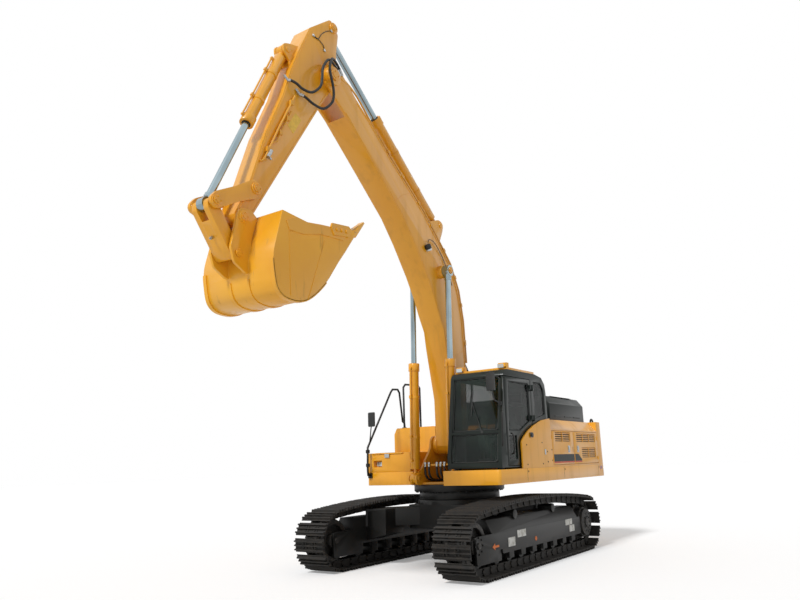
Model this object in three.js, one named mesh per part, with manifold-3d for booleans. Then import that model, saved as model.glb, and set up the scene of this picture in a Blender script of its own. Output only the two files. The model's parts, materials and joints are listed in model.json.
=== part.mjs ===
// Crawler excavator of the 36 tonne class, as an assembly of separate sub-parts.
// Millimetres. +X forward (towards the bucket), +Y to the machine's left (the cab side), +Z up.
// The tracks stand on z = 0. Everything is laid out from the slewing axis and then shifted, so that
// the origin lies under the middle of the machine's bounding box.
import * as THREE from "three";
import { mergeVertices } from "three/addons/utils/BufferGeometryUtils.js";
import Module from "manifold-3d";

const wasm = await Module();
wasm.setup();

// ---------------------------------------------------------------- driving dimensions
const GAP = 0.3; // between pieces that touch
const RUN = 6; // between pieces that move past each other

// Undercarriage
const TRACK_GAUGE = 2590;
const SHOE_WIDTH = 600;
const SHOE_COUNT = 48;
const SHOE_PLATE = 12;
const GROUSER = 37;
const WHEEL_BASE = 4016; // sprocket to idler
const PITCH_RADIUS = 367;
const LINK_OUT = 60; // pitch line to the shoe
const LINK_IN = 50; // pitch line to the rail that rollers run on
const RAIL_SPACING = 190; // across the two rails' middles
const RAIL_WIDTH = 50;
const CARRIER_X = 720; // carrier rollers, before and behind the middle
const TOP_RUN_RISE = 110; // top run's middle above a straight line
const ROLLER_RADIUS = 95;
const ROLLERS = 8;
const FRAME_WIDTH = 380; // side frame's box beam
const CAR_BODY_TOP = 1010;
const CAR_BODY_BOTTOM = 560;
const SLEW_RADIUS = 700; // outer race
const SLEW_FLANGE = 790; // upper race's flange
const SLEW_TOP = 1262;

// Revolving frame and body
const DECK_BOTTOM = 1266;
const DECK_TOP = 1490;
const HALF_WIDTH = 1500;
const TAIL_RADIUS = 3445;
const BODY_REAR = -2950; // where the counterweight starts
const BODY_TOP = 2320;
const SHEET = 40; // side panels and doors
const CENTRE_PLATE = 40; // the boom's two foot plates
const FOOT_PLATE_Y = 345; // foot plates' outer faces
const BOOM_FOOT_X = 190;
const BOOM_FOOT_Z = 1936;
const BOOM_FOOT_PIN = 60; // radius
const LIFT_FOOT_X = 795; // lift cylinders' foot pins
const LIFT_FOOT_Z = 1380;

// Cab
const CAB_LEFT = 1463;
const CAB_WIDTH = 982;
const CAB_FLOOR = 1515;
const CAB_ROOF = 3062;
const CAB_FRONT = 1115; // at the floor
const CAB_RAKE = 225; // front leans back by this much at the roof
const CAB_REAR = -690;
const CAB_WALL = 60;
const GLASS = 8;
const DOOR_REAR = -50; // hinge side
const DOOR_FRONT = 905;
const DOOR_HINGE_OUT = 40; // hinge line outside the cab's side

// Front attachment, each outline in its own frame: s along the line of pins, n square to it
const BOOM_LENGTH = 6477;
const BOOM_ANGLE = 58.04;
const BOOM_WIDTH = 420;
const BOOM_FOOT_WIDTH = 590;
const BOOM_PIN_OUT = 300; // half width over the bosses at the tip
const LIFT_EYE_S = 2800;
const LIFT_EYE_N = 1169;
const LIFT_Y = 378; // lift cylinders' middles
const BARREL_RADIUS = 84;
const ROD_RADIUS = 50;
const ARM_LENGTH = 3187;
const ARM_ANGLE = -58.92;
const ARM_WIDTH = 320;
const ARM_TAIL_S = -881;
const ARM_TAIL_N = 374;
const CROWD_FOOT_S = 3500; // arm cylinder's foot on the boom
const CROWD_FOOT_N = 1880;
const CROWD_BARREL_RADIUS = 97;
const CROWD_ROD_RADIUS = 57;
const CURL_FOOT_S = 310; // bucket cylinder's foot on the arm
const CURL_FOOT_N = 740;
const CURL_BARREL_RADIUS = 84;
const CURL_ROD_RADIUS = 48;
const LEVER_PIN_S = 2715; // tilt levers' pin in the arm
const LEVER_PIN_N = 62;
const LEVER_END_S = 3342;
const LEVER_END_N = 420;
const LINK_END_S = 3640; // link's pin in the bucket
const LINK_END_N = -198;
const LEVER_THICK = 50;
const LINK_WIDTH = 300;
const BUCKET_WIDTH = 1290;
const BUCKET_WALL = 30;

// ---------------------------------------------------------------- materials
function paint(color, roughness = 0.45, metalness = 0.1) {
  return new THREE.MeshStandardMaterial({ color, roughness, metalness });
}
const YELLOW = paint(0xe8b52c);
const BLACK = paint(0x1b1d1c, 0.6);
const CAB_GREEN = paint(0x19241f, 0.4);
const STEEL = paint(0x3a3733, 0.7, 0.5);
const CHROME = paint(0xb8c4c8, 0.15, 1);
const RUBBER = paint(0x121413, 0.8, 0);
const FABRIC = paint(0x2a2c2d, 0.9, 0);
const GLAZING = new THREE.MeshStandardMaterial({
  color: 0x6f8a80,
  roughness: 0.05,
  metalness: 0,
  transparent: true,
  opacity: 0.35,
});

// ---------------------------------------------------------------- solids
function toSolid(geometry) {
  const bare = new THREE.BufferGeometry();
  bare.setAttribute("position", geometry.getAttribute("position"));
  if (geometry.index) bare.setIndex(geometry.index);
  const merged = mergeVertices(bare, 1e-3);
  return new wasm.Manifold(
    new wasm.Mesh({
      numProp: 3,
      vertProperties: new Float32Array(merged.attributes.position.array),
      triVerts: new Uint32Array(merged.index.array),
    }),
  );
}

function join(...solids) {
  return solids.flat().reduce((whole, piece) => whole.add(piece));
}

function cut(solid, ...tools) {
  return tools.flat().reduce((left, tool) => left.subtract(tool), solid);
}

function block(x0, x1, y0, y1, z0, z1) {
  const box = new THREE.BoxGeometry(x1 - x0, y1 - y0, z1 - z0);
  box.translate((x0 + x1) / 2, (y0 + y1) / 2, (z0 + z1) / 2);
  return toSolid(box);
}

// A point list as a Shape; an entry [x, y, radius] gets that corner rounded.
function outline(points, steps = 3) {
  if (points instanceof THREE.Shape) return points;
  const shape = new THREE.Shape();
  const count = points.length;
  const placed = [];
  points.forEach(([x, y, radius], i) => {
    if (!radius) {
      placed.push([x, y]);
      return;
    }
    const before = points[(i + count - 1) % count];
    const after = points[(i + 1) % count];
    const corner = new THREE.Vector2(x, y);
    const back = new THREE.Vector2(before[0] - x, before[1] - y).normalize();
    const on = new THREE.Vector2(after[0] - x, after[1] - y).normalize();
    const half = Math.acos(THREE.MathUtils.clamp(back.dot(on), -1, 1)) / 2;
    const reach = radius / Math.tan(half);
    const middle = back.clone().add(on).normalize();
    middle.multiplyScalar(radius / Math.sin(half)).add(corner);
    const start = back.clone().multiplyScalar(reach).add(corner).sub(middle);
    const end = on.clone().multiplyScalar(reach).add(corner).sub(middle);
    const turn = Math.atan2(start.x * end.y - start.y * end.x, start.dot(end));
    for (let k = 0; k <= steps; k++) {
      const at = start.clone().rotateAround(new THREE.Vector2(), (turn * k) / steps);
      placed.push([middle.x + at.x, middle.y + at.y]);
    }
  });
  placed.forEach(([x, y], i) => (i ? shape.lineTo(x, y) : shape.moveTo(x, y)));
  return shape;
}

function extrude(shape, depth, basis) {
  const geometry = new THREE.ExtrudeGeometry(shape, { depth, bevelEnabled: false, steps: 1 });
  geometry.applyMatrix4(basis);
  return toSolid(geometry);
}

// Plates: an outline in the XZ, XY or YZ plane, given a thickness across it.
function plateXZ(points, y0, y1, steps) {
  const basis = new THREE.Matrix4().makeBasis(
    new THREE.Vector3(1, 0, 0),
    new THREE.Vector3(0, 0, 1),
    new THREE.Vector3(0, -1, 0),
  );
  basis.setPosition(0, y1, 0);
  return extrude(outline(points, steps), y1 - y0, basis);
}

function plateXY(points, z0, z1, steps) {
  return extrude(outline(points, steps), z1 - z0, new THREE.Matrix4().makeTranslation(0, 0, z0));
}

function plateYZ(points, x0, x1, steps) {
  const basis = new THREE.Matrix4().makeBasis(
    new THREE.Vector3(0, 1, 0),
    new THREE.Vector3(0, 0, 1),
    new THREE.Vector3(1, 0, 0),
  );
  basis.setPosition(x0, 0, 0);
  return extrude(outline(points, steps), x1 - x0, basis);
}

// A round bar between two points.
function bar(from, to, radius, sides = 16, turned = 0) {
  const a = new THREE.Vector3(...from);
  const b = new THREE.Vector3(...to);
  const along = b.clone().sub(a);
  const geometry = new THREE.CylinderGeometry(radius, radius, along.length(), sides, 1, false, turned);
  const turn = new THREE.Quaternion().setFromUnitVectors(
    new THREE.Vector3(0, 1, 0),
    along.clone().normalize(),
  );
  geometry.applyQuaternion(turn);
  geometry.translate((a.x + b.x) / 2, (a.y + b.y) / 2, (a.z + b.z) / 2);
  return toSolid(geometry);
}

// A round disc or pin across the machine.
function pinY(x, z, radius, y0, y1, sides = 16, turned = 0) {
  return bar([x, y0, z], [x, y1, z], radius, sides, turned);
}

function disc(radius, z0, z1, sides = 40) {
  return bar([0, 0, z0], [0, 0, z1], radius, sides);
}

// A round tube bent along a curve.
function pipe(points, radius, sides = 8, spacing = 3) {
  const curve = new THREE.CatmullRomCurve3(points.map((p) => new THREE.Vector3(...p)));
  const steps = Math.min(80, Math.ceil(curve.getLength() / (2 * radius * spacing)));
  return sweep(curve, radius, sides, steps);
}

// A tube of straight lengths with mitred corners.
function rail(points, radius, sides = 8) {
  const line = points.map((p) => new THREE.Vector3(...p));
  const first = line[1].clone().sub(line[0]).normalize();
  const away = new THREE.Vector3(0, 1, 0);
  if (Math.abs(first.dot(away)) > 0.9) away.set(1, 0, 0);
  const u = new THREE.Vector3().crossVectors(first, away).normalize();
  const v = new THREE.Vector3().crossVectors(first, u);
  const vertices = [];
  let ring = Array.from({ length: sides }, (_, k) => {
    const angle = (2 * Math.PI * k) / sides;
    return u.clone().multiplyScalar(radius * Math.cos(angle))
      .addScaledVector(v, radius * Math.sin(angle));
  });
  line.forEach((point, i) => {
    const into = i ? point.clone().sub(line[i - 1]).normalize() : first;
    const out = i < line.length - 1 ? line[i + 1].clone().sub(point).normalize() : into;
    const mitre = into.clone().add(out);
    ring = ring.map((r) => r.clone().addScaledVector(into, -r.dot(mitre) / into.dot(mitre)));
    ring.forEach((r) => vertices.push(point.x + r.x, point.y + r.y, point.z + r.z));
    ring = ring.map((r) => r.clone().addScaledVector(out, -r.dot(out)));
  });
  const faces = [];
  for (let i = 0; i < line.length - 1; i++) {
    for (let k = 0; k < sides; k++) {
      const a = i * sides + k;
      const b = i * sides + ((k + 1) % sides);
      faces.push(a, b, a + sides, b, b + sides, a + sides);
    }
  }
  const last = (line.length - 1) * sides;
  for (let k = 1; k < sides - 1; k++) {
    faces.push(0, k + 1, k, last, last + k, last + k + 1);
  }
  const geometry = new THREE.BufferGeometry();
  geometry.setAttribute("position", new THREE.Float32BufferAttribute(vertices, 3));
  geometry.setIndex(faces);
  return toSolid(geometry);
}

function sweep(curve, radius, sides, steps) {
  const section = new THREE.Shape();
  for (let k = 0; k < sides; k++) {
    const angle = (2 * Math.PI * k) / sides;
    const at = [radius * Math.cos(angle), radius * Math.sin(angle)];
    if (k) section.lineTo(...at);
    else section.moveTo(...at);
  }
  const geometry = new THREE.ExtrudeGeometry(section, {
    steps,
    extrudePath: curve,
    bevelEnabled: false,
  });
  return toSolid(geometry);
}

// The same solid on the machine's other side.
function mirrored(solid) {
  const made = solid.getMesh();
  const points = Float32Array.from(made.vertProperties, (v, i) => (i % 3 === 1 ? -v : v));
  const turned = Uint32Array.from(made.triVerts, (v, i) => made.triVerts[i - (i % 3) + 2 - (i % 3)]);
  return new wasm.Manifold(new wasm.Mesh({ numProp: 3, vertProperties: points, triVerts: turned }));
}

function bothSides(solid) {
  return join(solid, mirrored(solid));
}

// A line of points moved square to itself; to the left of its direction when the distance is positive.
function offsetPath(points, distance, closed = false) {
  const count = points.length;
  return points.map(([x, y], i) => {
    const before = closed || i > 0 ? points[(i + count - 1) % count] : null;
    const after = closed || i < count - 1 ? points[(i + 1) % count] : null;
    const normals = [
      [before, [x, y]],
      [[x, y], after],
    ]
      .filter(([a, b]) => a && b)
      .map(([a, b]) => new THREE.Vector2(a[1] - b[1], b[0] - a[0]).normalize());
    const sum = normals.reduce((total, n) => total.clone().add(n), new THREE.Vector2()).normalize();
    const stretch = distance / Math.max(sum.dot(normals[0]), 0.3);
    return [x + sum.x * stretch, y + sum.y * stretch];
  });
}

// A strip of one thickness that follows a line of points.
function band(points, thickness) {
  return [...points, ...offsetPath(points, thickness).reverse()];
}

// Points given in a leaning frame, moved to the machine's X and Z.
function leaning(originX, originZ, degrees) {
  const angle = THREE.MathUtils.degToRad(degrees);
  const place = ([s, n, radius]) => [
    originX + s * Math.cos(angle) - n * Math.sin(angle),
    originZ + s * Math.sin(angle) + n * Math.cos(angle),
    radius,
  ];
  return (points) => (Array.isArray(points[0]) ? points.map(place) : place(points).slice(0, 2));
}

// Radius of a many-sided hole that a many-sided pin turns freely in.
function boreFor(pinRadius, sides = 16) {
  return (pinRadius + GAP) / Math.cos(Math.PI / sides);
}

const machine = new THREE.Group();

function add(name, solid, material, parent = machine) {
  const made = solid.getMesh();
  const geometry = new THREE.BufferGeometry();
  geometry.setAttribute("position", new THREE.BufferAttribute(made.vertProperties, 3));
  geometry.setIndex(new THREE.BufferAttribute(made.triVerts, 1));
  geometry.computeVertexNormals();
  const mesh = new THREE.Mesh(geometry, material);
  mesh.name = name;
  parent.add(mesh);
}

// ---------------------------------------------------------------- undercarriage
const WHEEL_Z = PITCH_RADIUS + LINK_OUT + SHOE_PLATE + GROUSER;
const ARC_STEPS = 14;
const RAIL_RADIUS = PITCH_RADIUS - LINK_IN;

// Height of the top run above a straight line between the wheels.
function topRise(x) {
  return TOP_RUN_RISE * (1 - (2 * x / WHEEL_BASE) ** 2);
}

// The track's closed path, seen from the right side, at a distance from its pitch line.
function trackPath(offset) {
  const points = [];
  const half = WHEEL_BASE / 2;
  const radius = PITCH_RADIUS + offset;
  for (let k = 0; k <= ARC_STEPS; k++) {
    const angle = -Math.PI / 2 + (Math.PI * k) / ARC_STEPS;
    points.push([half + radius * Math.cos(angle), WHEEL_Z + radius * Math.sin(angle)]);
  }
  const topSteps = 8;
  for (let k = 1; k < topSteps; k++) {
    const x = half - (WHEEL_BASE * k) / topSteps;
    points.push([x, WHEEL_Z + radius + topRise(x)]);
  }
  for (let k = 0; k <= ARC_STEPS; k++) {
    const angle = Math.PI / 2 + (Math.PI * k) / ARC_STEPS;
    points.push([-half + radius * Math.cos(angle), WHEEL_Z + radius * Math.sin(angle)]);
  }
  return points;
}

function loop(outer, inner) {
  const shape = outline(outer);
  shape.holes.push(new THREE.Path(outline(inner).getPoints().reverse()));
  return shape;
}

// Outside of the shoes: one raised grouser block on each shoe.
function shoeOutline() {
  const path = new THREE.CurvePath();
  const corners = trackPath(0).map(([x, z]) => new THREE.Vector2(x, z));
  corners.forEach((corner, i) => path.add(new THREE.LineCurve(corner, corners[(i + 1) % corners.length])));
  const base = LINK_OUT + SHOE_PLATE;
  const steps = [
    [0.06, base],
    [0.16, base + GROUSER],
    [0.84, base + GROUSER],
    [0.94, base],
  ];
  const points = [];
  for (let shoe = 0; shoe < SHOE_COUNT; shoe++) {
    const from = path.getPointAt(shoe / SHOE_COUNT);
    const to = path.getPointAt(((shoe + 1) % SHOE_COUNT) / SHOE_COUNT);
    const along = to.clone().sub(from);
    const out = new THREE.Vector2(along.y, -along.x).normalize();
    steps.forEach(([share, height]) => {
      const at = from.clone().addScaledVector(along, share).addScaledVector(out, height);
      points.push([at.x, Math.max(at.y, 0)]);
    });
  }
  return points;
}

function trackLoop(middle) {
  const shoes = plateXZ(
    loop(shoeOutline(), trackPath(LINK_OUT)),
    middle - SHOE_WIDTH / 2,
    middle + SHOE_WIDTH / 2,
  );
  const rails = [-1, 1].map((side) => {
    const y = middle + (side * RAIL_SPACING) / 2;
    const shape = loop(trackPath(LINK_OUT + SHOE_PLATE / 2), trackPath(-LINK_IN));
    return plateXZ(shape, y - RAIL_WIDTH / 2, y + RAIL_WIDTH / 2);
  });
  return join(shoes, rails);
}

const RAIL_Z = WHEEL_Z - RAIL_RADIUS; // rails' upper face on the ground run
const ROLLER_Z = RAIL_Z + ROLLER_RADIUS + GAP;
const RUNNER = 130; // half width of rollers and idler treads
const CHEEK = 150; // inner faces of yokes and roller saddles
const BEAM_BOTTOM = ROLLER_Z + ROLLER_RADIUS + 15;
const BEAM_TOP = 790;
const BEAM_SHOULDER = 590; // where the beam's outer face turns in
const SKIRT_BOTTOM = 300;
const SKIRT = 14;
const WHEEL_X = WHEEL_BASE / 2;
const CARRIER_RADIUS = 72;

function trackFrame(middle, out) {
  const half = FRAME_WIDTH / 2;
  const section = [
    [-half, BEAM_BOTTOM],
    [half, BEAM_BOTTOM],
    [half, BEAM_SHOULDER],
    [half - 110, BEAM_TOP, 20],
    [-half, BEAM_TOP],
  ];
  const beam = plateYZ(
    section.map(([y, ...rest]) => [middle + out * y, ...rest]),
    -WHEEL_X + 408,
    WHEEL_X - 408,
  );
  const outerFaces = [middle + out * (half - SKIRT), middle + out * half].sort((a, b) => a - b);
  const skirt = plateXZ(
    [
      [-WHEEL_X + 278, SKIRT_BOTTOM, 40],
      [WHEEL_X - 700, SKIRT_BOTTOM, 30],
      [WHEEL_X - 700, BEAM_SHOULDER],
      [-WHEEL_X + 278, BEAM_SHOULDER, 20],
    ],
    ...outerFaces,
  );
  const yoke = [-1, 1].map((side) => {
    const faces = [middle + side * CHEEK, middle + side * half].sort((a, b) => a - b);
    return plateXZ(
      [
        [WHEEL_X - 558, WHEEL_Z - 260, 30],
        [WHEEL_X + 60, WHEEL_Z - 260, 30],
        [WHEEL_X + 80, WHEEL_Z + 125, 30],
        [WHEEL_X - 558, WHEEL_Z + 125, 20],
      ],
      ...faces,
    );
  });
  // The sprocket's motor is bolted to a plate on the frame's inner side.
  const motorFaces = [middle - out * CHEEK, middle - out * half].sort((a, b) => a - b);
  const motorPlate = plateXZ(
    [
      [-WHEEL_X + 408, WHEEL_Z - 110],
      [-WHEEL_X - 130, WHEEL_Z - 160, 120],
      [-WHEEL_X - 130, WHEEL_Z + 160, 120],
      [-WHEEL_X + 408, WHEEL_Z + 160],
    ],
    ...motorFaces,
  );
  const parts = [beam, skirt, yoke, motorPlate];
  const rollerSpan = 2 * (WHEEL_X - 608);
  for (let k = 0; k < ROLLERS; k++) {
    const x = rollerSpan * (k / (ROLLERS - 1) - 0.5);
    parts.push(pinY(x, ROLLER_Z, ROLLER_RADIUS, middle - RUNNER, middle + RUNNER, 10));
    [-1, 1].forEach((side) => {
      const y = middle + side * (RUNNER + 20);
      parts.push(block(x - 75, x + 75, y - 25, y + 25, ROLLER_Z - 45, BEAM_BOTTOM + 5));
    });
  }
  [-CARRIER_X, CARRIER_X].forEach((x) => {
    const z = WHEEL_Z + RAIL_RADIUS + topRise(x) - CARRIER_RADIUS - 6;
    parts.push(pinY(x, z, CARRIER_RADIUS, middle - RUNNER, middle + RUNNER, 10));
    parts.push(block(x - 45, x + 45, middle - 40, middle + 40, BEAM_TOP - 10, z));
  });
  const idlerPin = pinY(WHEEL_X, WHEEL_Z, boreFor(45), middle - 300, middle + 300);
  return cut(join(parts.flat()), idlerPin);
}

// Treads run on the rails, a flange runs between them.
function idler(middle) {
  const radius = RAIL_RADIUS * Math.cos(Math.PI / (2 * ARC_STEPS)) - GAP;
  const x = WHEEL_X;
  const flange = RAIL_SPACING / 2 - RAIL_WIDTH / 2 - 4;
  const wheel = join(
    pinY(x, WHEEL_Z, radius, middle - RUNNER, middle + RUNNER, 28),
    pinY(x, WHEEL_Z, radius + 22, middle - flange, middle + flange, 28),
  );
  const dish = [-1, 1].map((side) => {
    const faces = [middle + side * 60, middle + side * 200].sort((a, b) => a - b);
    return pinY(x, WHEEL_Z, radius - 70, ...faces, 20);
  });
  const hub = pinY(x, WHEEL_Z, 120, middle - CHEEK + GAP, middle + CHEEK - GAP, 14);
  const axle = pinY(x, WHEEL_Z, 45, middle - FRAME_WIDTH / 2 - 20, middle + FRAME_WIDTH / 2 + 20);
  return join(cut(wheel, dish), hub, axle);
}

const SPROCKET_TEETH = 21;

function sprocket(middle, out) {
  const x = -WHEEL_X;
  const root = 300;
  const tip = 352;
  const teeth = [];
  for (let k = 0; k < SPROCKET_TEETH; k++) {
    const pitch = (2 * Math.PI) / SPROCKET_TEETH;
    [
      [0.0, root],
      [0.28, root],
      [0.48, tip],
      [0.8, tip],
    ].forEach(([share, r]) => {
      const angle = (k + share) * pitch;
      teeth.push([x + r * Math.cos(angle), WHEEL_Z + r * Math.sin(angle)]);
    });
  }
  const sides = (a, b) => [middle + out * a, middle + out * b].sort((p, q) => p - q);
  return join(
    plateXZ(teeth, middle - 38, middle + 38),
    pinY(x, WHEEL_Z, 262, ...sides(30, 150), 24),
    pinY(x, WHEEL_Z, 238, ...sides(140, 205), 24),
    pinY(x, WHEEL_Z, 90, ...sides(200, 225), 12),
    pinY(x, WHEEL_Z, 215, ...sides(-CHEEK + GAP, -30), 20),
  );
}

[
  ["left", 1],
  ["right", -1],
].forEach(([side, out]) => {
  const middle = (out * TRACK_GAUGE) / 2;
  add("track_frame_" + side, trackFrame(middle, out), BLACK);
  add("track_" + side, trackLoop(middle), STEEL);
  add("idler_" + side, idler(middle), BLACK);
  add("sprocket_" + side, sprocket(middle, out), BLACK);
});

// Centre box, four legs out to the side frames, and the ring that the slewing bearing is bolted to.
function carBody() {
  const reach = TRACK_GAUGE / 2 - FRAME_WIDTH / 2 - GAP;
  const leg = plateXY(
    [
      [120, 560],
      [640, 260],
      [1260, reach],
      [720, reach],
    ],
    CAR_BODY_BOTTOM + 60,
    900,
  );
  const foot = plateYZ(
    [
      [700, 500],
      [reach, 400],
      [reach, 860],
      [700, 900],
    ],
    740,
    1240,
  );
  const front = join(bothSides(leg), bothSides(foot));
  const made = front.getMesh();
  const points = Float32Array.from(made.vertProperties, (v, i) => (i % 3 < 2 ? -v : v));
  const back = new wasm.Manifold(
    new wasm.Mesh({ numProp: 3, vertProperties: points, triVerts: made.triVerts }),
  );
  const box = plateXY(
    [
      [-720, -640, 120],
      [720, -640, 120],
      [720, 640, 120],
      [-720, 640, 120],
    ],
    CAR_BODY_BOTTOM,
    940,
  );
  return join(box, front, back, disc(SLEW_RADIUS + 30, 930, CAR_BODY_TOP, 36));
}
add("car_body", carBody(), BLACK);

const RACE_SPLIT = 1150;
add("slew_ring", disc(SLEW_RADIUS, CAR_BODY_TOP + GAP, RACE_SPLIT, 36), BLACK);
add("slew_flange", disc(SLEW_FLANGE, RACE_SPLIT + GAP, DECK_BOTTOM - GAP, 36), BLACK);

// ---------------------------------------------------------------- revolving frame
const CENTRE_HALF = 450; // the deck's open middle, half its width
const CENTRE_FRONT = 690;
const NOSE_REAR = 560;
const BESIDE_LIFT = LIFT_Y + BARREL_RADIUS + 28; // left beam's inner side, clear of the lift cylinder
const LEFT_FRONT = 1280;
const RIGHT_FRONT = 700;
const FOOT_INNER = FOOT_PLATE_Y - CENTRE_PLATE;
const LIFT_PIN = 45;
const YOKE_THICK = 30;
const LIFT_EYE_HALF = 30;

function revolvingFrame() {
  const left = plateXY(
    [
      [BODY_REAR, CENTRE_HALF],
      [NOSE_REAR, CENTRE_HALF],
      [NOSE_REAR, BESIDE_LIFT],
      [LEFT_FRONT, BESIDE_LIFT],
      [LEFT_FRONT, HALF_WIDTH, 60],
      [BODY_REAR, HALF_WIDTH],
    ],
    DECK_BOTTOM,
    DECK_TOP,
  );
  const right = plateXY(
    [
      [BODY_REAR, -HALF_WIDTH],
      [RIGHT_FRONT, -HALF_WIDTH, 60],
      [RIGHT_FRONT, -BESIDE_LIFT],
      [NOSE_REAR, -BESIDE_LIFT],
      [NOSE_REAR, -CENTRE_HALF],
      [BODY_REAR, -CENTRE_HALF],
    ],
    DECK_BOTTOM,
    DECK_TOP,
  );
  const middle = block(BODY_REAR, CENTRE_FRONT, -CENTRE_HALF - 5, CENTRE_HALF + 5, DECK_BOTTOM, 1306);
  // Solid beside the foot plates; open between them, where the hoses hang.
  const nose = block(
    NOSE_REAR,
    CENTRE_FRONT,
    FOOT_INNER + 10,
    LIFT_Y + LIFT_EYE_HALF + 4 + YOKE_THICK,
    DECK_BOTTOM,
    1475,
  );
  const footPlate = plateXZ(
    [
      [BODY_REAR, DECK_BOTTOM],
      [LIFT_FOOT_X + 60, DECK_BOTTOM, 60],
      [LIFT_FOOT_X + 95, LIFT_FOOT_Z + 40, 80],
      [LIFT_FOOT_X - 60, LIFT_FOOT_Z + 110, 60],
      [BOOM_FOOT_X + 210, BOOM_FOOT_Z - 70],
      [BOOM_FOOT_X + 165, BOOM_FOOT_Z + 150, 120],
      [BOOM_FOOT_X - 175, BOOM_FOOT_Z + 150, 120],
      [BOOM_FOOT_X - 330, BOOM_FOOT_Z - 120],
      [-1150, 1485, 80],
      [BODY_REAR, 1470],
    ],
    FOOT_INNER,
    FOOT_PLATE_Y,
  );
  const yokeY = LIFT_Y + LIFT_EYE_HALF + 4;
  const yoke = plateXZ(
    [
      [600, DECK_BOTTOM],
      [LIFT_FOOT_X + 60, DECK_BOTTOM, 60],
      [LIFT_FOOT_X + 95, LIFT_FOOT_Z + 60, 80],
      [LIFT_FOOT_X - 60, LIFT_FOOT_Z + 95, 50],
      [600, 1475],
    ],
    yokeY,
    yokeY + YOKE_THICK,
  );
  const liftPin = pinY(LIFT_FOOT_X, LIFT_FOOT_Z, LIFT_PIN, FOOT_INNER - 15, yokeY + YOKE_THICK + 15);
  const sides = join(footPlate, yoke, liftPin);
  const bulkhead = block(-420, -380, -FOOT_INNER - 5, FOOT_INNER + 5, 1300, 1640);
  const footPin = pinY(BOOM_FOOT_X, BOOM_FOOT_Z, BOOM_FOOT_PIN, -FOOT_PLATE_Y - 25, FOOT_PLATE_Y + 25);
  return join(left, right, middle, bothSides(join(nose, sides)), bulkhead, footPin);
}
add("revolving_frame", revolvingFrame(), YELLOW);

function counterweight() {
  const plan = plateXY(
    [
      [BODY_REAR - GAP, HALF_WIDTH - 5],
      [-3290, HALF_WIDTH - 5, 180],
      [-TAIL_RADIUS, 700, 700],
      [-TAIL_RADIUS, -700, 700],
      [-3290, -HALF_WIDTH + 5, 180],
      [BODY_REAR - GAP, -HALF_WIDTH + 5],
    ],
    DECK_BOTTOM,
    BODY_TOP,
    5,
  );
  const profile = plateXZ(
    [
      [BODY_REAR, DECK_BOTTOM],
      [BODY_REAR, BODY_TOP],
      [-3180, BODY_TOP],
      [-TAIL_RADIUS, 2080, 160],
      [-TAIL_RADIUS, 1420],
      [-3330, DECK_BOTTOM, 60],
    ],
    -HALF_WIDTH,
    HALF_WIDTH,
    5,
  );
  return plan.intersect(profile);
}
add("counterweight", counterweight(), YELLOW);

// ---------------------------------------------------------------- bodywork over the engine bay
const COWL_FRONT = -700;
const COWL_RIGHT_FRONT = -1400;
const SEAM = 8; // round doors and lids
const DOOR_SHEET = 28;
const REBATE = 22; // width of the ledge that a door closes on
const DOOR_Z = [1525, 2105];
const LEFT_DOOR_FRONT = [-1696, -735];
const LEFT_DOOR_REAR = [-2915, -1726];
const RIGHT_DOOR = [-2915, -1760];
const HOOD_X = [-3100, -1405];
const HOOD_HALF = 1200;
const HOOD_Z = [BODY_TOP + GAP, 2800];
const HOOD_HOLE = 1120;
const PANEL_IN = CAB_LEFT + 9;

function cowl() {
  const section = (half) => [
    [half, DECK_TOP + GAP],
    [half, 2130],
    [1330, BODY_TOP],
    [-1330, BODY_TOP],
    [-half, 2130],
    [-half, DECK_TOP + GAP],
  ];
  const wall = band(section(HALF_WIDTH), SHEET);
  const rear = BODY_REAR + GAP;
  const shell = plateYZ(wall, rear, COWL_FRONT);
  const clear = cut(
    shell,
    block(COWL_RIGHT_FRONT, COWL_FRONT + 1, -HALF_WIDTH - 1, 440, DECK_TOP, BODY_TOP + 1),
  );
  const sectionAt = (x, y0, y1) =>
    plateYZ(section(HALF_WIDTH - 5), x - SHEET, x).intersect(
      block(x - SHEET, x, y0, y1, DECK_TOP, BODY_TOP),
    );
  const bulkheads = join(
    sectionAt(COWL_FRONT, 440, HALF_WIDTH),
    cut(
      sectionAt(COWL_RIGHT_FRONT, -HALF_WIDTH, 485),
      block(COWL_RIGHT_FRONT - 50, COWL_RIGHT_FRONT, -FOOT_PLATE_Y - 6, FOOT_PLATE_Y + 6, 1480, 1560),
    ),
    block(COWL_RIGHT_FRONT - 20, COWL_FRONT, 440, 440 + SHEET, DECK_TOP + GAP, BODY_TOP),
  );
  // The left skin runs on forward outside the cab's lower rear corner.
  const quarter = plateXZ(QUARTER_PANEL, PANEL_IN, HALF_WIDTH);
  const openings = [
    [LEFT_DOOR_FRONT, 1],
    [LEFT_DOOR_REAR, 1],
    [RIGHT_DOOR, -1],
  ].map(([[x0, x1], side]) => {
    const faces = (depth) =>
      [side * (HALF_WIDTH - depth), side * (HALF_WIDTH + 10)].sort((a, b) => a - b);
    const [z0, z1] = DOOR_Z;
    return join(
      block(x0 - SEAM, x1 + SEAM, ...faces(DOOR_SHEET + GAP), z0 - SEAM, z1 + SEAM),
      block(x0 + REBATE, x1 - REBATE, ...faces(SHEET + 10), z0 + REBATE, z1 - REBATE),
    );
  });
  const hoodHole = block(HOOD_X[0] + 250, HOOD_X[1] - 60, -HOOD_HOLE, HOOD_HOLE, 2200, BODY_TOP + 10);
  // Vent recesses in the slanted edge on the left.
  const vents = [
    [-1650, -760],
    [-2790, -1950],
  ].map(([x0, x1]) =>
    plateYZ(
      [
        [1463, 2180],
        [1378, 2280],
        [1398, 2300],
        [1483, 2200],
      ],
      x0,
      x1,
    ),
  );
  return cut(join(clear, bulkheads, quarter), openings, hoodHole, vents);
}

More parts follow.
